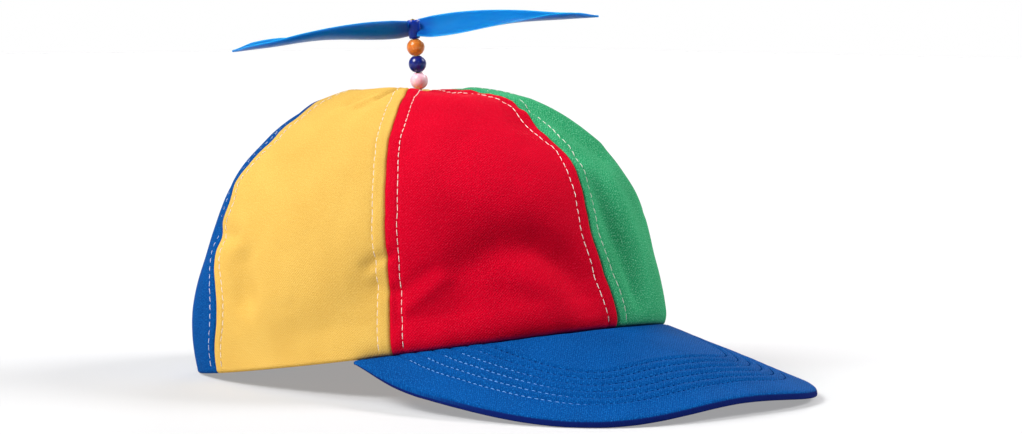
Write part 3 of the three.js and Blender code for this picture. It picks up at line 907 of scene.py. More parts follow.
    def creased(self, azimuth: np.ndarray, climb: np.ndarray) -> np.ndarray:
        """Depth of the sharper creases: a bell of the least distance to each crease's line of runs.

        Args:
            azimuth: angle from the front, in radians.
            climb: share of the way from hem to apex.

        Returns:
            Depth in mm.
        """
        depth = np.zeros(np.broadcast(azimuth, climb).shape)
        radius = self.half_width * np.cos(climb * np.pi / 2)
        rise = self.rise(1)
        for width, deep, *line in self.creases:
            least = np.full(depth.shape, np.inf)
            for (first, low), (last, high) in zip(line[:-1], line[1:]):
                turn = azimuth - np.radians(first)
                x, y = np.arctan2(np.sin(turn), np.cos(turn)) * radius, (climb - low) * rise
                run, lift = np.radians(last - first) * radius, (high - low) * rise
                share = np.clip((x * run + y * lift) / (run * run + lift * lift), 0, 1)
                least = np.minimum(least, (x - share * run) ** 2 + (y - share * lift) ** 2)
            depth += deep * np.exp(-least / width ** 2)
        return depth

    def wall(self, climb: np.ndarray) -> np.ndarray:
        """Wall thickness: the turned-up hem's, passing smoothly to the single cloth's."""
        fade = smoothstep(self.rise(climb), self.hem_height * 0.6, self.hem_height)
        return self.hem_cloth + (self.cloth - self.hem_cloth) * fade

    def point(self, azimuth: np.ndarray, climb: np.ndarray, depth: np.ndarray) -> np.ndarray:
        """Point at a depth into the wall, in the cap's frame, the hem let down on the table.

        Args:
            azimuth: angle from the front, in radians.
            climb: share of the way from hem to apex.
            depth: distance inwards from the outer face in mm.

        Returns:
            Points in the cap's frame.
        """
        inward = self.dents(azimuth, climb) + depth
        points = self.smooth(azimuth, climb) - self.normal(azimuth, climb) * inward[..., None]
        table = (points[..., 1] - self.half_length) * np.tan(np.radians(self.rest_tilt_deg))
        fade = smoothstep(self.sag_height - climb, 0, self.sag_height)
        sag = self.hem_sag * np.maximum(-np.cos(azimuth), 0) ** 2 * fade
        points[..., 2] -= np.minimum(points[..., 2] - table, sag)
        # Over the brim the hem is pressed down until no light passes under it
        pressed = smoothstep(np.cos(azimuth), 0.3, 0.4) * smoothstep(0.02 - climb, 0, 0.02)
        points[..., 2] -= self.press * pressed
        return points

    def tilt(self) -> np.ndarray:
        """Matrix that tips the cap forward to where it lies."""
        return about("X", -np.radians(self.rest_tilt_deg))

    def laid(self, points: np.ndarray) -> np.ndarray:
        """Turns and moves points of the cap's frame to where the cap lies, in the row's frame."""
        return points @ self.tilt().T + np.array(self.row_shift)

    def laid_direction(self, vectors: np.ndarray) -> np.ndarray:
        """Turns directions of the cap's frame into the row's frame."""
        return vectors @ self.tilt().T

    def pin_turn(self) -> np.ndarray:
        """Matrix that turns the leaning pin's own frame into the row's frame."""
        lean = about("X", np.radians(self.lean_forward_deg)) @ about("Y", -np.radians(self.lean_right_deg))
        return self.tilt() @ lean


@dataclass
class Seams:
    """Where the crown's sewn seams run and how the cloth lies beside them. Sizes in mm."""

    form: CapForm
    count: int = 6
    stitch_offset: float = 5.3
    stitch_pitch: float = 3.45
    edge_zone: float = 8.0
    groove_depth: float = 0.62
    groove_width: float = 0.3
    allowance_rise: float = 0.3
    stitch_depth: float = 0.32
    brim_pull: float = 2.8
    brim_pull_height: float = 2.2
    # How far a seam leaves its even meridian: its number, then climb and degrees of each bend
    drifts: tuple = (
        (0, ((0, 2.0), (0.05, 1.4), (0.13, -0.2), (0.25, -1.5), (0.34, -0.7), (0.4, 0.3), (0.46, 1.5),
             (0.5, 0.9), (0.57, 1.8), (0.61, 2.4), (0.66, 3.6), (0.71, 1.2), (0.78, 0), (0.95, 0))),
        (4, ((0, 0.4), (0.06, 1), (0.12, 2.8), (0.16, 2.8), (0.2, 1.8), (0.24, 0.5), (0.3, -0.6),
             (0.34, -2), (0.37, -1), (0.41, -1.2), (0.445, -3.6), (0.48, -2.4), (0.52, -0.8),
             (0.575, 0.4), (0.605, -1.8), (0.64, -4), (0.7, -5.5), (0.82, -5), (0.95, 0))),
        (5, ((0, -0.9), (0.15, -0.9), (0.25, -0.2), (0.5, 0.1), (0.6, 1.1), (0.78, 1.6), (0.95, 0))),
    )
    samples: int = 49
    # Narrower than this many edge zones, a panel's seam detail shrinks with it
    full_zones: float = 2.6

    def scale(self, width: np.ndarray) -> np.ndarray:
        """How much the seam's detail shrinks where a panel has this width in mm."""
        return np.minimum(width / (self.full_zones * self.edge_zone), 1)

    def azimuth(self, seam: np.ndarray, climb: np.ndarray) -> np.ndarray:
        """Seam line: an even meridian moved by the seam's drift, with a waver of some tenths of a mm.

        Args:
            seam: number of the seam, 0 at the front.
            climb: share of the way from hem to apex.

        Returns:
            Azimuth in radians.
        """
        along = self.form.rise(climb)
        number = seam % self.count
        waver = 0.3 * kinks(along, 12, 40 + number) + 0.14 * kinks(along, 4.5, 60 + number)
        calm = smoothstep(climb, 0, 0.05) * smoothstep(0.97 - climb, 0, 0.12)
        radius = np.maximum(self.form.half_width * np.cos(climb * np.pi / 2), 6)
        bends = np.array(dict(self.drifts).get(number, ((0, 0), (1, 0))), float)
        drift = np.radians(through(bends[:, 0], bends[:, 1], climb))
        return seam * 2 * np.pi / self.count + drift + waver * calm / radius

    def spread(self, number: int, climb: np.ndarray) -> tuple[np.ndarray, np.ndarray]:
        """Distance across a panel at sample azimuths of each level.

        Args:
            number: number of the panel.
            climb: levels, one axis.

        Returns:
            Sample azimuths and distances from the panel's first seam, both levels by samples.
        """
        low, high = self.azimuth(number, climb), self.azimuth(number + 1, climb)
        share = np.linspace(0, 1, self.samples)
        azimuth = low[:, None] + (high - low)[:, None] * share
        points = self.form.smooth(azimuth, np.broadcast_to(climb[:, None], azimuth.shape))
        steps = np.linalg.norm(np.diff(points, axis=1), axis=-1)
        return azimuth, np.concatenate([np.zeros((len(climb), 1)), np.cumsum(steps, axis=1)], 1)

    def relief(self, azimuth: np.ndarray, climb: np.ndarray, edge: np.ndarray, scale: np.ndarray,
               side: np.ndarray) -> np.ndarray:
        """Height of the cloth over the plain wall: a groove at the seam, the raised strip over the
        turned-in edges, a fine valley under the topstitching, puckers, and long soft waves.

        Args:
            azimuth: angle from the front, in radians.
            climb: share of the way from hem to apex.
            edge: distance from the nearest seam in mm.
            scale: how much the seam's detail shrinks where the panel is narrow.
            side: a number that differs from seam edge to seam edge.

        Returns:
            Height in mm.
        """
        along = self.form.rise(climb)
        points = self.form.smooth(azimuth, climb)
        rise = -self.groove_depth * bell(edge, 0, self.groove_width)
        rise += self.allowance_rise * (smoothstep(edge, 0.4, 1.2) - smoothstep(edge, 4.6, 5.8))
        pulled = 0.8 + 0.35 * np.cos(2 * np.pi * along / self.stitch_pitch)
        rise -= self.stitch_depth * bell(edge, self.stitch_offset, 0.75) * pulled
        pucker = lattice_noise(np.stack([along, side * 50, edge * 0.35], -1), 5.5, 7)
        rise += 0.2 * pucker * np.exp(-((edge - 3.5) / 6.5) ** 2)
        rise *= scale
        rise += 0.32 * lattice_noise(points, 24, 3) + 0.13 * lattice_noise(points, 9, 5)
        crease = 1 - np.abs(lattice_noise(points * np.array([1, 1, 0.55]), 17, 11))
        rise -= 0.22 * np.maximum(crease - 0.8, 0) / 0.2
        # Where the brim is sewn on, the cloth is gathered in short upright puckers
        gather = lattice_noise(np.stack([points[..., 0], points[..., 1], along * 0.3], -1), 3.4, 9)
        rise += self.over_brim(azimuth) * 0.4 * gather * np.exp(-along / 3.2)
        return rise * np.minimum((1 - climb) / 0.03, 1)

    def over_brim(self, azimuth: np.ndarray) -> np.ndarray:
        """1 where the hem stands on the brim, falling to 0 beside it."""
        return 1 - smoothstep(-np.cos(azimuth), -0.42, -0.3)

    def drawn_in(self, azimuth: np.ndarray, climb: np.ndarray) -> np.ndarray:
        """How far the brim's seam draws the cloth in, falling off steadily upwards."""
        along = self.form.rise(climb)
        return self.over_brim(azimuth) * self.brim_pull * np.exp(-along / self.brim_pull_height)


@dataclass
class CrownPanel:
    """One crown panel: cloth between two seams, its hem turned up, and its two rows of topstitching."""

    seams: Seams
    number: int
    node: str
    finish: Cloth
    slot: str
    thread: bpy.types.Material
    rows: int = 172
    middle_columns: int = 50
    hem_round: float = 1.25
    inner_allowance: float = 0.8
    pin_hole: float = 1.15
    # Radius of the wall's curve near the pin
    top_radius: float = 92
    # How dark the painted shade is where the cloth meets the brim, and how far up in mm it reaches
    foot_shade: float = 0.9
    foot_height: float = 1.2

    def levels(self) -> np.ndarray:
        """Climb of each row: close together round the turned hem, then even up to the pin."""
        full = self.seams.form.rise(1)
        hem = np.array([0, 0.06, 0.2, 0.45, 0.8, 1.25, 1.9, 2.7]) / full
        top = 1 - np.arcsin(self.pin_hole / self.top_radius) * 2 / np.pi
        return np.concatenate([hem, np.linspace(3.6 / full, top, self.rows)])

    def layout(self, climb: np.ndarray) -> tuple[np.ndarray, np.ndarray, np.ndarray, np.ndarray]:
        """Columns of each row: fixed distances beside both seams, even ones between.

        Args:
            climb: levels of the rows.

        Returns:
            Azimuth, distance from the nearest seam, scale of the seam's detail, and distance from the
            panel's middle line, each rows by columns.
        """
        near = np.array([0, 0.18, 0.36, 0.6, 0.95, 1.5, 2.4, 3.4, 4.2, 4.6, 4.95, 5.3, 5.65, 6.0, 6.5, 7.2])
        azimuth, distance = self.seams.spread(self.number, climb)
        width = distance[:, -1]
        scale = self.seams.scale(width)[:, None]
        zone = self.seams.edge_zone * scale
        between = np.linspace(0, 1, self.middle_columns)
        middle = zone + (width[:, None] - 2 * zone) * between
        target = np.concatenate([near * scale, middle, width[:, None] - near[::-1] * scale], 1)
        turned_to = row_by_row(target, distance, azimuth)
        edge = np.minimum(target, width[:, None] - target) / scale
        return turned_to, edge, np.broadcast_to(scale, edge.shape), target - width[:, None] / 2

    def side_mark(self, shape: tuple[int, ...]) -> np.ndarray:
        """A number for the first and another for the last half of the columns."""
        first = np.arange(shape[1]) < shape[1] / 2
        return np.broadcast_to(np.where(first, 2 * self.number, 2 * self.number + 1), shape)

    def hem_inset(self, climb: np.ndarray) -> np.ndarray:
        """How far the rounded fold of the hem draws each face in: a quarter circle."""
        up = np.minimum(self.seams.form.rise(climb), self.hem_round)
        return self.hem_round - np.sqrt(self.hem_round ** 2 - (self.hem_round - up) ** 2)

    def build(self) -> None:
        """Makes the panel and its topstitching and names what they stand for."""
        form, climb = self.seams.form, self.levels()
        azimuth, edge, scale, across = self.layout(climb)
        level = np.broadcast_to(climb[:, None], azimuth.shape)
        relief = self.seams.relief(azimuth, level, edge, scale, self.side_mark(azimuth.shape))
        inset = self.hem_inset(level)
        drawn = self.seams.drawn_in(azimuth, level)
        outer = form.point(azimuth, level, inset - relief + drawn)
        allowance = self.inner_allowance * np.exp(-(edge / 5.5) ** 4) * scale
        lining = form.wall(level) - inset + allowance * (1 - inset / self.hem_round)
        inner = form.point(azimuth, level, lining + drawn)
        along = form.rise(level)
        cloth = np.stack([across, along, np.zeros_like(along)], -1)
        points = form.laid(np.concatenate([outer.transpose(1, 0, 2), inner.transpose(1, 0, 2)]))
        points[..., 2] = np.maximum(points[..., 2], 0.0)
        flat = cloth.transpose(1, 0, 2)
        both = np.concatenate([flat, flat + np.array([3.1, 1.7, 0])])
        # Painted shade: where the hem meets the brim, the cloth's colour is darkened for the seam's deep
        # shade
        foot = self.foot_shade * self.seams.over_brim(azimuth) * np.exp(-(along / self.foot_height) ** 2)
        shade = np.concatenate([foot.T, np.zeros_like(foot.T)])
        piece = new_piece(self.node + "_cloth", points, slab_faces(azimuth.shape[1], len(climb)),
                          self.finish.value.build(), cloth=both, tone=shade)
        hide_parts(self.node)
        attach(piece, "cap")
        self.topstitch()

    def topstitch(self) -> None:
        """Sews a row of thread beside each of the panel's seams, from the hem to near the apex."""
        form = self.seams.form
        climb = np.linspace(0.012, 0.972, 500)
        azimuth, distance = self.seams.spread(self.number, climb)
        width = distance[:, -1]
        scale = self.seams.scale(width)
        along = form.rise(climb)
        parts = []
        for side in (0, 1):
            waver = 0.22 * kinks(along, 9, 80 + 2 * self.number + side)
            offset = (self.seams.stitch_offset + waver) * scale
            target = offset if side == 0 else width - offset
            line = row_by_row(target, distance, azimuth)
            mark = 2 * self.number + side
            rise = self.seams.relief(line, climb, offset / scale, scale, np.full(line.shape, mark))
            path = form.laid(form.point(line, climb, self.seams.drawn_in(line, climb) - rise))
            normals = form.laid_direction(form.normal(line, climb))
            parts.append(Stitching(pitch=self.seams.stitch_pitch).dashes(path, normals, seed=mark))
        points, faces = joined(parts)
        piece = new_piece(self.node + "_topstitching", points, faces, self.thread)
        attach(piece, "cap")


@dataclass
class Brim:
    """Stiff brim covered in twill, with rows of stitching that follow its outer edge. Sizes in mm."""

    form: CapForm
    thread: bpy.types.Material
    hole_shade: bpy.types.Material
    length: float = 62
    half_width: float = 87
    shoulder: float = 33
    squareness: float = 3.25
    half_span_deg: float = 70
    droop: float = 30
    side_rise: float = 1.2
    twist: float = 1
    thickness: float = 3.2
    end_width: float = 1.6
    tuck_length: float = 42
    edge_round: float = 1.8
    clearance: float = 0.3
    hidden: float = 2.0
    # The painted shade along the lower edge begins where the edge has fallen to this share of half the
    # thickness
    band: float = 0.68
    columns: int = 300
    flat_rows: int = 110
    edge_rows: int = 12
    stitch_rows: int = 6
    first_stitch: float = 12.0
    stitch_spacing: float = 4.5
    # Radius of the cones that carry the painted shade in the needle holes
    hole: float = 0.42

    def half_outline(self) -> np.ndarray:
        """Right half of the outer edge in plan, from the front's middle to the corner on the rim: a
        rounded rectangle whose side is tucked in towards the corner.

        Returns:
            Points evenly spaced along the edge.
        """
        power = 2 / self.squareness
        reach = self.form.half_length + self.length - self.shoulder
        corner_x, corner_y = self.form.outline(np.radians(self.half_span_deg))
        tuck = self.half_width - corner_x - self.end_width
        turn = np.linspace(0, 1, 4001) * np.pi / 2
        forward = np.maximum(np.cos(turn), 0) ** power
        near_end = np.maximum(1 - forward * reach / self.tuck_length, 0)
        x = self.half_width * np.sin(turn) ** power - tuck * near_end ** 1.5
        y = -self.shoulder - reach * forward + (corner_y + self.shoulder) * near_end
        along = np.concatenate([[0], np.cumsum(np.hypot(np.diff(x), np.diff(y)))])
        even = np.linspace(0, along[-1], 801)
        return read_along(np.stack([x, y], -1), along, even)

    def edge(self, side: np.ndarray) -> np.ndarray:
        """Point of the outer edge, side running from -1 at one corner to 1 at the other."""
        half = self.half_outline()
        points = read_along(half, np.arange(len(half)), np.abs(side) * (len(half) - 1))
        return points * np.stack([np.sign(side), np.ones_like(side)], -1)

    def top(self, x: np.ndarray, y: np.ndarray) -> np.ndarray:
        """Height of the upper face: level under the hem, then falling away evenly.

        Args:
            x: place to the wearer's left.
            y: place towards the back.

        Returns:
            Height in the cap's frame.
        """
        fall = np.maximum(np.hypot(x / self.form.half_width, y / self.form.half_length) - 1, 0)
        fall = fall / (self.length / self.form.half_length)
        across = x / self.form.half_width
        lift = self.side_rise * across * across + self.twist * across
        return -self.form.dip(x) - self.clearance - (self.droop - lift) * fall

    def from_edge(self, x: np.ndarray, y: np.ndarray) -> np.ndarray:
        """Plan distance to the outer edge: the least distance to any point of the dense outline.

        Args:
            x: place to the wearer's left.
            y: place towards the back.

        Returns:
            Distance in mm.
        """
        outline = self.edge(np.linspace(-1, 1, 900))
        flat = np.stack([x.ravel(), y.ravel()], -1)
        least = np.empty(len(flat))
        for start in range(0, len(flat), 4000):
            gap = flat[start:start + 4000, None] - outline[None]
            least[start:start + 4000] = np.sqrt((gap ** 2).sum(-1).min(1))
        return least.reshape(x.shape)

    def rows_relief(self, distance: np.ndarray, x: np.ndarray, y: np.ndarray) -> np.ndarray:
        """Relief of the cover: a narrow valley under each stitch row and a low swell between rows.

        Args:
            distance: plan distance to the outer edge.
            x: place to the wearer's left.
            y: place towards the back.

        Returns:
            Height in mm.
        """
        place = (distance - self.first_stitch) / self.stitch_spacing
        last = self.stitch_rows
        inside = smoothstep(place, -0.7, -0.2) * (1 - smoothstep(place, last - 0.8, last - 0.3))
        near = np.abs(place - np.round(place)) * self.stitch_spacing
        spots = np.stack([x, y, np.zeros_like(x)], -1)
        rise = inside * (0.25 - 0.9 * bell(near, 0, 0.9))
        return rise + 0.14 * lattice_noise(spots, 17, 21) + 0.08 * lattice_noise(spots, 5, 23)

    def build(self) -> None:
        """Makes the covered brim and its stitching and names what they stand for."""
        side = np.linspace(-1, 1, self.columns)[:, None]
        span = np.radians(self.half_span_deg)
        under_hem = np.full(self.columns, self.form.hem_cloth + self.hidden)
        rim = self.form.point(side[:, 0] * span, np.zeros(self.columns), under_hem)
        outer = self.edge(side[:, 0])
        across = (outer - rim[:, :2])[:, :, None]
        gap = np.hypot(across[:, 0], across[:, 1])
        round_share = np.minimum(self.edge_round / gap, 0.5)
        flat = np.linspace(0, 1, self.flat_rows) * (1 - round_share)
        bend = np.sin(np.linspace(0, np.pi / 2, self.edge_rows + 1)[1:])
        share = np.concatenate([flat, 1 - round_share * (1 - bend)], 1)
        x, y = (rim[:, k:k + 1] + across[:, k] * share for k in (0, 1))
        inward = np.minimum((1 - share) / round_share, 1)
        # The brim thins where its ends pass under the hem
        from_end = 1 - np.abs(side)
        thickness = self.thickness * (0.45 + 0.55 * smoothstep(from_end, 0, 0.16))
        half = thickness / 2 * np.maximum((1 - (1 - inward) ** 3) ** (1 / 3), 0.02)
        distance = self.from_edge(x, y)
        relief = self.rows_relief(distance, x, y)
        middle = self.top(x, y) - thickness / 2
        upper = np.stack([x, y, middle + half + relief * inward], -1)
        under = np.stack([x, y, middle - half - np.minimum(relief, 0.05) * inward], -1)
        cloth = np.stack([x, y, np.zeros_like(x)], -1)
        points = self.form.laid(np.concatenate([under, upper]))
        points[..., 2] = np.maximum(points[..., 2], 0.0)
        both = np.concatenate([cloth + np.array([2.3, 1.1, 0]), cloth])
        # Painted shade: the under face is dark navy all over, and the upper face turns dark navy round the
        # lower part of the edge, fading out near the ends
        band = 1 - smoothstep(half / (thickness / 2), self.band - 0.12, self.band + 0.12)
        band = band * smoothstep(from_end, 0.16, 0.42)
        tone = np.concatenate([np.ones_like(band), band])
        piece = new_piece("brim_cover", points, slab_faces(*x.shape), Cloth.BLUE.value.build(), both, tone)
        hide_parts("brim")
        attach(piece, "cap")
        self.stitch()

    def row(self, number: int) -> tuple[np.ndarray, np.ndarray, np.ndarray]:
        """One stitch row: the outer edge set in by the row's distance, as far as the hem allows.

        Args:
            number: number of the row, 0 nearest the edge.

        Returns:
            Points on the cover and directions out of it in the cap's frame, and the height at which
            the thread lies: proud along the near side, sunk into its valley across the front.
        """
        outline = self.edge(np.linspace(-1, 1, 2400))
        run = np.gradient(outline, axis=0)
        inward = unit(np.stack([-run[:, 1], run[:, 0]], -1))
        offset = self.first_stitch + number * self.stitch_spacing
        plan = outline + inward * offset
        distance = self.from_edge(plan[:, 0], plan[:, 1])
        rim = np.hypot(plan[:, 0] / self.form.half_width, plan[:, 1] / self.form.half_length)
        keep = (distance > offset - 0.2) & (rim > 1.03)
        middle = len(plan) // 2
        first = middle - np.argmin(keep[:middle][::-1])
        last = middle + np.argmin(keep[middle:])
        x, y = plan[first:last, 0], plan[first:last, 1]
        valley = self.rows_relief(np.full(len(x), offset), x, y)
        slope_x = self.top(x + 0.5, y) - self.top(x - 0.5, y)
        slope_y = self.top(x, y + 0.5) - self.top(x, y - 0.5)
        normals = unit(np.stack([-slope_x, -slope_y, np.ones_like(x)], -1))
        lift = -0.34 + 0.52 * smoothstep(-x, 44, 68) + 0.34 * smoothstep(x, 50, 70)
        return np.stack([x, y, self.top(x, y) + valley], -1), normals, lift

    def stitch(self) -> None:
        """Sews the rows, and puts small dark cones between the dashes as painted shade in the needle holes.
        """
        sewing = Stitching(pitch=2.75, dash=1.95, thread=0.27, dive=0.45)
        parts, holes = [], []
        for number in range(self.stitch_rows):
            points, normals, lift = self.row(number)
            laid, out = self.form.laid(points), self.form.laid_direction(normals)
            parts.append(sewing.dashes(laid, out, lift, 30 + number))
            # The painted shade cones shrink along the near side, where the thread lies proud
            hole_shade_size = 1 - 0.65 * smoothstep(-points[:, 0], 40, 62)
            holes.append(sewing.holes(laid, out, self.hole * hole_shade_size, 30 + number))
        for name, found, material in (("brim_stitching", parts, self.thread),
                                      ("brim_needle_hole_shade", holes, self.hole_shade)):
            corners, faces = joined(found)
            piece = new_piece(name, corners, faces, material)
            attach(piece, "cap")


@dataclass
class Stack:
    """The beads and the pin that carry the propeller. Sizes in mm."""

    form: CapForm
    # A point on the pin in mm, and the pin's direction, in the row's frame
    joint: np.ndarray
    axis: np.ndarray
    bead_diameter: float = 7.42
    bore: float = 1.3
    pin: float = 1.0
    head: float = 1.45
    head_height: float = 1.0
    washer: float = 5.0
    washer_thickness: float = 1.2
    beads: tuple = (
        ("bead_pink", PearlFinish("pearl_acrylic_pink", "#ffb4c6", "#ffe0e8")),
        ("bead_navy", PearlFinish("pearl_acrylic_navy", "#010d64", "#0a2890")),
        ("bead_orange", PearlFinish("pearl_acrylic_orange", "#cf6a10", "#e6903e")),
    )

    def on_pin(self, points: np.ndarray, node: str) -> np.ndarray:
        """Turns points about the origin along the pin and moves them to a node's middle."""
        low, high = (np.array(corner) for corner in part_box(node))
        return points @ self.form.pin_turn().T + (low + high) / 2 / MM

    def bead_profile(self) -> np.ndarray:
        """Half of a drilled ball's outline: an arc from the bore's lower lip to its upper lip."""
        radius = self.bead_diameter / 2
        start = np.arccos((self.bore + 0.25) / radius)
        angle = np.linspace(-start, start, 25)
        arc = np.stack([radius * np.cos(angle), radius * np.sin(angle)], -1)
        lip = arc[-1, 1] - 0.12
        mouth = np.array([[self.bore, lip], [self.bore, -lip]])
        return np.concatenate([arc, mouth, arc[:1]])

    def build(self) -> None:
        """Makes the beads and the pin and names what they stand for."""
        for node, finish in self.beads:
            points, faces = turned(self.bead_profile(), 40)
            piece = new_piece(node + "_ball", self.on_pin(points, node), faces, finish.build())
            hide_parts(node)
            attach(piece, "cap")
        self.build_pin()

    def build_pin(self) -> None:
        """Makes the pin: a shaft with a domed head above the hub and a washer inside the crown."""
        low, high = (np.array(corner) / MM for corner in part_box("pin"))
        length = self.pin_length(low, high)
        seat = self.washer_thickness
        shoulder = length - self.head_height
        flat, rim, round_off, lip = self.washer - 0.2, self.washer, 0.2, 0.1
        turn = np.linspace(0, np.pi / 2, 9)
        shaft = np.array([[0, 0], [flat, 0], [rim, round_off], [rim, seat - round_off], [flat, seat],
                          [self.pin, seat], [self.pin, shoulder], [self.head, shoulder]])
        height = shoulder + lip + (self.head_height - lip) * np.sin(turn)
        profile = np.concatenate([shaft, np.stack([self.head * np.cos(turn), height], -1)])
        profile[-1, 0] = 0
        points, faces = turned(profile, 32)
        middle = (low + high) / 2
        foot = self.joint + self.axis * ((middle - self.joint) @ self.axis - length / 2)
        piece = new_piece("pin_brass", points @ self.form.pin_turn().T + foot, faces,
                          BrassFinish("drawn_brass", "#d8b45e").build())
        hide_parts("pin")
        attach(piece, "cap")

    def pin_length(self, low: np.ndarray, high: np.ndarray) -> float:
        """Length of the pin along its axis: the box's height less what the tilted washer adds."""
        lean = np.hypot(self.axis[0], self.axis[1])
        return float(((high - low)[2] - self.washer * lean) / self.axis[2])


@dataclass
class Propeller:
    """Two thin twisted blades on a small hub, moulded in one piece. Sizes in mm."""

    form: CapForm
    # The middle of the hub in mm, in the row's frame
    joint: np.ndarray
    span: float = 155
    turn_deg: float = -50.4
    chord: float = 17.6
    thickness: float = 1.3
    camber: float = 1.5
    bow: float = 1.6
    hub_radius: float = 2.8
    hub_height: float = 7.4
    bore: float = 1.3
    # Reach, chord, pitch in degrees, thickness and bow from hub to tip
    stations: tuple = (
        (0.02, 0.62, 38, 1, 0), (0.1, 0.8, 36, 1, 0), (0.25, 0.96, 29, 0.9, 0.3),
        (0.42, 1, 20, 0.8, 0.6), (0.6, 0.98, 10, 0.75, 0.6), (0.76, 0.9, -1, 0.7, 0.4),
        (0.9, 0.68, -4, 0.65, -0.2), (1, 0.1, -6, 0.6, -1.4),
    )
    long_rows: int = 110
    cross_rows: int = 26

    def blade(self) -> tuple[np.ndarray, list, np.ndarray]:
        """One blade along +X: across a chord that narrows and turns by the pitch, both faces cupped up.

        Returns:
            Corners, faces, and the tone of each corner.
        """
        table = np.array(self.stations, float)
        share = np.sin(np.linspace(0, 1, self.long_rows) * np.pi / 2)
        reach = table[0, 0] + (1 - table[0, 0]) * share
        chord, pitch, thick, bow = (through(table[:, 0], table[:, k], reach)[:, None] for k in (1, 2, 3, 4))
        pitch = np.radians(pitch)
        across = np.sin(np.linspace(-1, 1, self.cross_rows) * np.pi / 2)[None]
        rounded = np.sqrt(np.maximum(1 - across ** 8, 0)) * 0.96 + 0.04
        deeper = 1 + 0.9 * smoothstep(reach, 0.45, 0.8)[:, None]
        cup = self.camber * chord * deeper * (across * across - 1)
        along = across * self.chord * chord / 2
        faces_of = []
        for side in (1, -1):
            out = cup + side * self.thickness * thick * (1 - 0.6 * across ** 4) * rounded / 2
            x = np.broadcast_to(reach[:, None] * self.span / 2, out.shape)
            y = along * np.cos(pitch) - out * np.sin(pitch)
            z = along * np.sin(pitch) + out * np.cos(pitch) + self.bow * bow
            faces_of.append(np.stack([x, y, z], -1))
        near_edge = (1 - np.abs(across)) * self.chord * chord / 2
        tone = 0.5 * smoothstep(near_edge, 0.1, 1.6)
        tone = tone + 0.3 * (1 - smoothstep(reach, 0.03, 0.14))[:, None]
        corners = np.concatenate([faces_of[0].reshape(-1, 3), faces_of[1].reshape(-1, 3)])
        return corners, slab_faces(self.long_rows, self.cross_rows), np.concatenate([tone.ravel()] * 2)

    def hub_profile(self) -> np.ndarray:
        """Outline of the bored hub: a small rounded knob, closed round its bore."""
        r, h = self.hub_radius, self.hub_height
        outside = np.array([
            [self.bore, 0.0], [r * 0.66, 0.0], [r * 0.78, h * 0.03], [r * 0.86, h * 0.15],
            [r * 0.94, h * 0.35], [r * 0.99, h * 0.55], [r, h * 0.7], [r, h * 0.82], [r * 0.97, h * 0.92],
            [r * 0.9, h + 0.05], [r * 0.8, h + 0.35], [r * 0.68, h + 0.42], [r * 0.64, h + 0.3],
            [r * 0.63, h - 0.02], [self.bore, h - 0.02],
        ])
        return np.concatenate([outside, outside[:1]])

    def build(self) -> None:
        """Makes the propeller in one object and names what it stands for."""
        corners, faces, tone = self.blade()
        lift = np.array([0, 0, self.camber / 2])
        parts, tones = [], []
        for turn in (0, np.pi):
            spun = (corners + lift) @ about("Z", np.radians(self.turn_deg) + turn).T
            parts.append((spun, faces))
            tones.append(tone)
        hub, hub_faces = turned(self.hub_profile(), 48)
        parts.append((hub - np.array([0, 0, self.hub_height / 2]), hub_faces))
        tones.append(np.ones(len(hub)))
        points, all_faces = joined(parts)
        placed = points @ self.form.pin_turn().T + self.joint
        finish = MouldedPlasticFinish("moulded_polyethylene_blue", "#2084c4", "#0064a8", "#002c90")
        piece = new_piece("propeller_moulding", placed, all_faces, finish.build(),
                          tone=np.concatenate(tones))
        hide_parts("propeller")
        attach(piece, "propeller")


# Studio


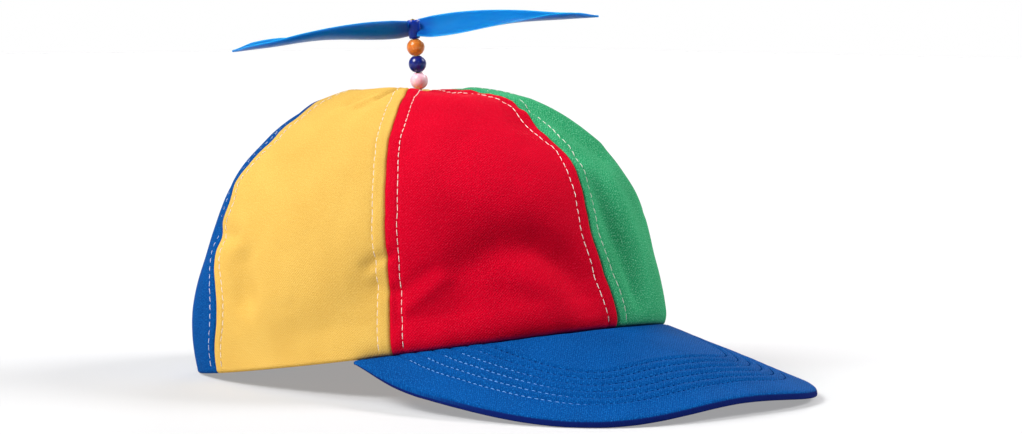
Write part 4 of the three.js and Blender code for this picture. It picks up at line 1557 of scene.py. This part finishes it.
@dataclass
class Studio:
    """Pale floor, soft light and the camera at the photograph's angle."""

    azimuth_deg: float = -44.4124
    elevation_deg: float = 4.1297
    roll_deg: float = 0.3271
    distance: float = 1258.32
    focal_px: float = 3016.53
    overhead: float = 0.05
    # The floor reaches this many metres each way, and lies this many mm under the cap
    floor_reach: float = 6.0
    floor_gap: float = 0.2
    # Softboxes either side and two behind: azimuth, elevation and spread in degrees, strength in W/m2
    suns: tuple = (
        ("left_box", -104, 43, 24, 4.2), ("right_box", 56, 38, 24, 3.1),
        ("back_left_box", -160, 45, 30, 1.6), ("back_right_box", 126, 18, 20, 0.9),
    )
    # A small lamp for the highlights: place, aim and size in metres, power in watts
    glint: tuple = ((-0.55, -0.95, 0.75), (0, 0, 0.1), 0.12, 0.6)
    target: tuple[float, float, float] = (22.154, 11.828, 66.503)

    def axes(self) -> tuple[np.ndarray, np.ndarray, np.ndarray]:
        """The camera's right, up and back directions from azimuth, elevation and roll."""
        a, e, r = np.radians([self.azimuth_deg, self.elevation_deg, self.roll_deg])
        back = np.array([np.sin(a) * np.cos(e), -np.cos(a) * np.cos(e), np.sin(e)])
        right = np.array([np.cos(a), np.sin(a), 0.0])
        up = np.cross(back, right)
        return right * np.cos(r) + up * np.sin(r), up * np.cos(r) - right * np.sin(r), back

    def camera(self) -> None:
        """Sets up the camera with the lens that the fitted focal length gives."""
        right, up, back = self.axes()
        place = np.array(self.target) + back * self.distance
        data = bpy.data.cameras.new("view")
        data.sensor_fit = "HORIZONTAL"
        data.sensor_width = SENSOR_MM
        data.lens = self.focal_px / IMAGE_WIDTH * SENSOR_MM
        data.clip_start = 0.05
        data.clip_end = 20
        eye = bpy.data.objects.new("view", data)
        frame = np.eye(4)
        frame[:3, 0], frame[:3, 1], frame[:3, 2], frame[:3, 3] = right, up, back, place * MM
        eye.matrix_world = Matrix(frame.tolist())
        bpy.context.scene.collection.objects.link(eye)
        bpy.context.scene.camera = eye

    def lamp(self, name: str, place: tuple[float, float, float], aim: tuple[float, float, float],
             size: float, power: float) -> None:
        """Adds a square soft light.

        Args:
            name: the light's name.
            place: where it stands, in metres.
            aim: the point that it faces, in metres.
            size: its side in metres.
            power: its power in watts.
        """
        data = bpy.data.lights.new(name, "AREA")
        data.shape = "SQUARE"
        data.size = size
        data.energy = power
        light = bpy.data.objects.new(name, data)
        light.location = place
        light.rotation_euler = (Vector(aim) - Vector(place)).to_track_quat("-Z", "Y").to_euler()
        bpy.context.scene.collection.objects.link(light)

    def sun(self, name: str, azimuth_deg: float, elevation_deg: float, spread_deg: float,
            strength: float) -> None:
        """Adds a distant soft light, which reaches the whole floor evenly.

        Args:
            name: the light's name.
            azimuth_deg: where it stands, from the front towards the wearer's left.
            elevation_deg: its height.
            spread_deg: its width, for soft shadows.
            strength: its strength in watts per square metre.
        """
        data = bpy.data.lights.new(name, "SUN")
        data.energy = strength
        data.angle = np.radians(spread_deg)
        light = bpy.data.objects.new(name, data)
        a, e = np.radians([azimuth_deg, elevation_deg])
        towards = Vector((np.sin(a) * np.cos(e), -np.cos(a) * np.cos(e), np.sin(e)))
        light.rotation_euler = towards.to_track_quat("Z", "Y").to_euler()
        light.location = towards * 2
        bpy.context.scene.collection.objects.link(light)

    def surround(self) -> None:
        """Makes the studio's surround: white near the horizon, dimmer overhead."""
        world = bpy.data.worlds.new("studio")
        world.use_nodes = True
        tree = world.node_tree
        direction = add(tree, "ShaderNodeTexCoord").outputs["Generated"]
        split = add(tree, "ShaderNodeSeparateXYZ", {}, {0: direction})
        fall = add(tree, "ShaderNodeMapRange", {"From Min": 0.03, "From Max": 0.12, "To Min": 1.0,
                                                "To Max": self.overhead}, {"Value": split.outputs["Z"]})
        tree.links.new(fall.outputs["Result"], tree.nodes["Background"].inputs["Strength"])
        tree.nodes["Background"].inputs["Color"].default_value = linear("#ffffff")
        bpy.context.scene.world = world

    def build(self) -> None:
        """Lays the floor and sets the lights, the surround and the camera."""
        side = self.floor_reach
        corners = np.array([[-side, -side, 0], [side, -side, 0], [side, side, 0], [-side, side, 0]]) / MM
        lowered = corners - np.array([0, 0, self.floor_gap])
        floor = new_piece("floor", lowered, [[0, 1, 2, 3]], PaperFinish().build())
        self.surround()
        for name, azimuth, elevation, spread, strength in self.suns:
            self.sun(name, azimuth, elevation, spread, strength)
        self.lamp("glint", *self.glint)
        bpy.context.scene.view_settings.view_transform = "Standard"
        self.camera()


def main() -> None:
    """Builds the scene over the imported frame, piece by piece."""
    logging.basicConfig(level=logging.INFO, format="%(name)s %(message)s")
    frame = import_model()
    joint = frame["record"]["behaviour"]["joints"][0]
    place, axis = np.array(joint["pos_m"]) / MM, np.array(joint["axis"], float)
    white, blue, hole = (kind.value.build() for kind in (Cloth.WHITE_THREAD, Cloth.BLUE_THREAD, Cloth.NEEDLE_HOLE_SHADE))
    Studio().build()
    form = CapForm()
    seams = Seams(form)
    panels = (
        ("panel_front_left", Cloth.GREEN, "twill_green"), ("panel_side_left", Cloth.RED, "twill_red"),
        ("panel_back_left", Cloth.YELLOW, "twill_yellow"), ("panel_back_right", Cloth.BLUE, "twill_blue"),
        ("panel_side_right", Cloth.YELLOW, "twill_yellow"), ("panel_front_right", Cloth.RED, "twill_red"),
    )
    for number, (node, finish, slot) in enumerate(panels):
        CrownPanel(seams, number, node, finish, slot, white).build()
    Brim(form, blue, hole).build()
    Stack(form, place, axis).build()
    Propeller(form, place).build()


if __name__ == "__main__":
    main()
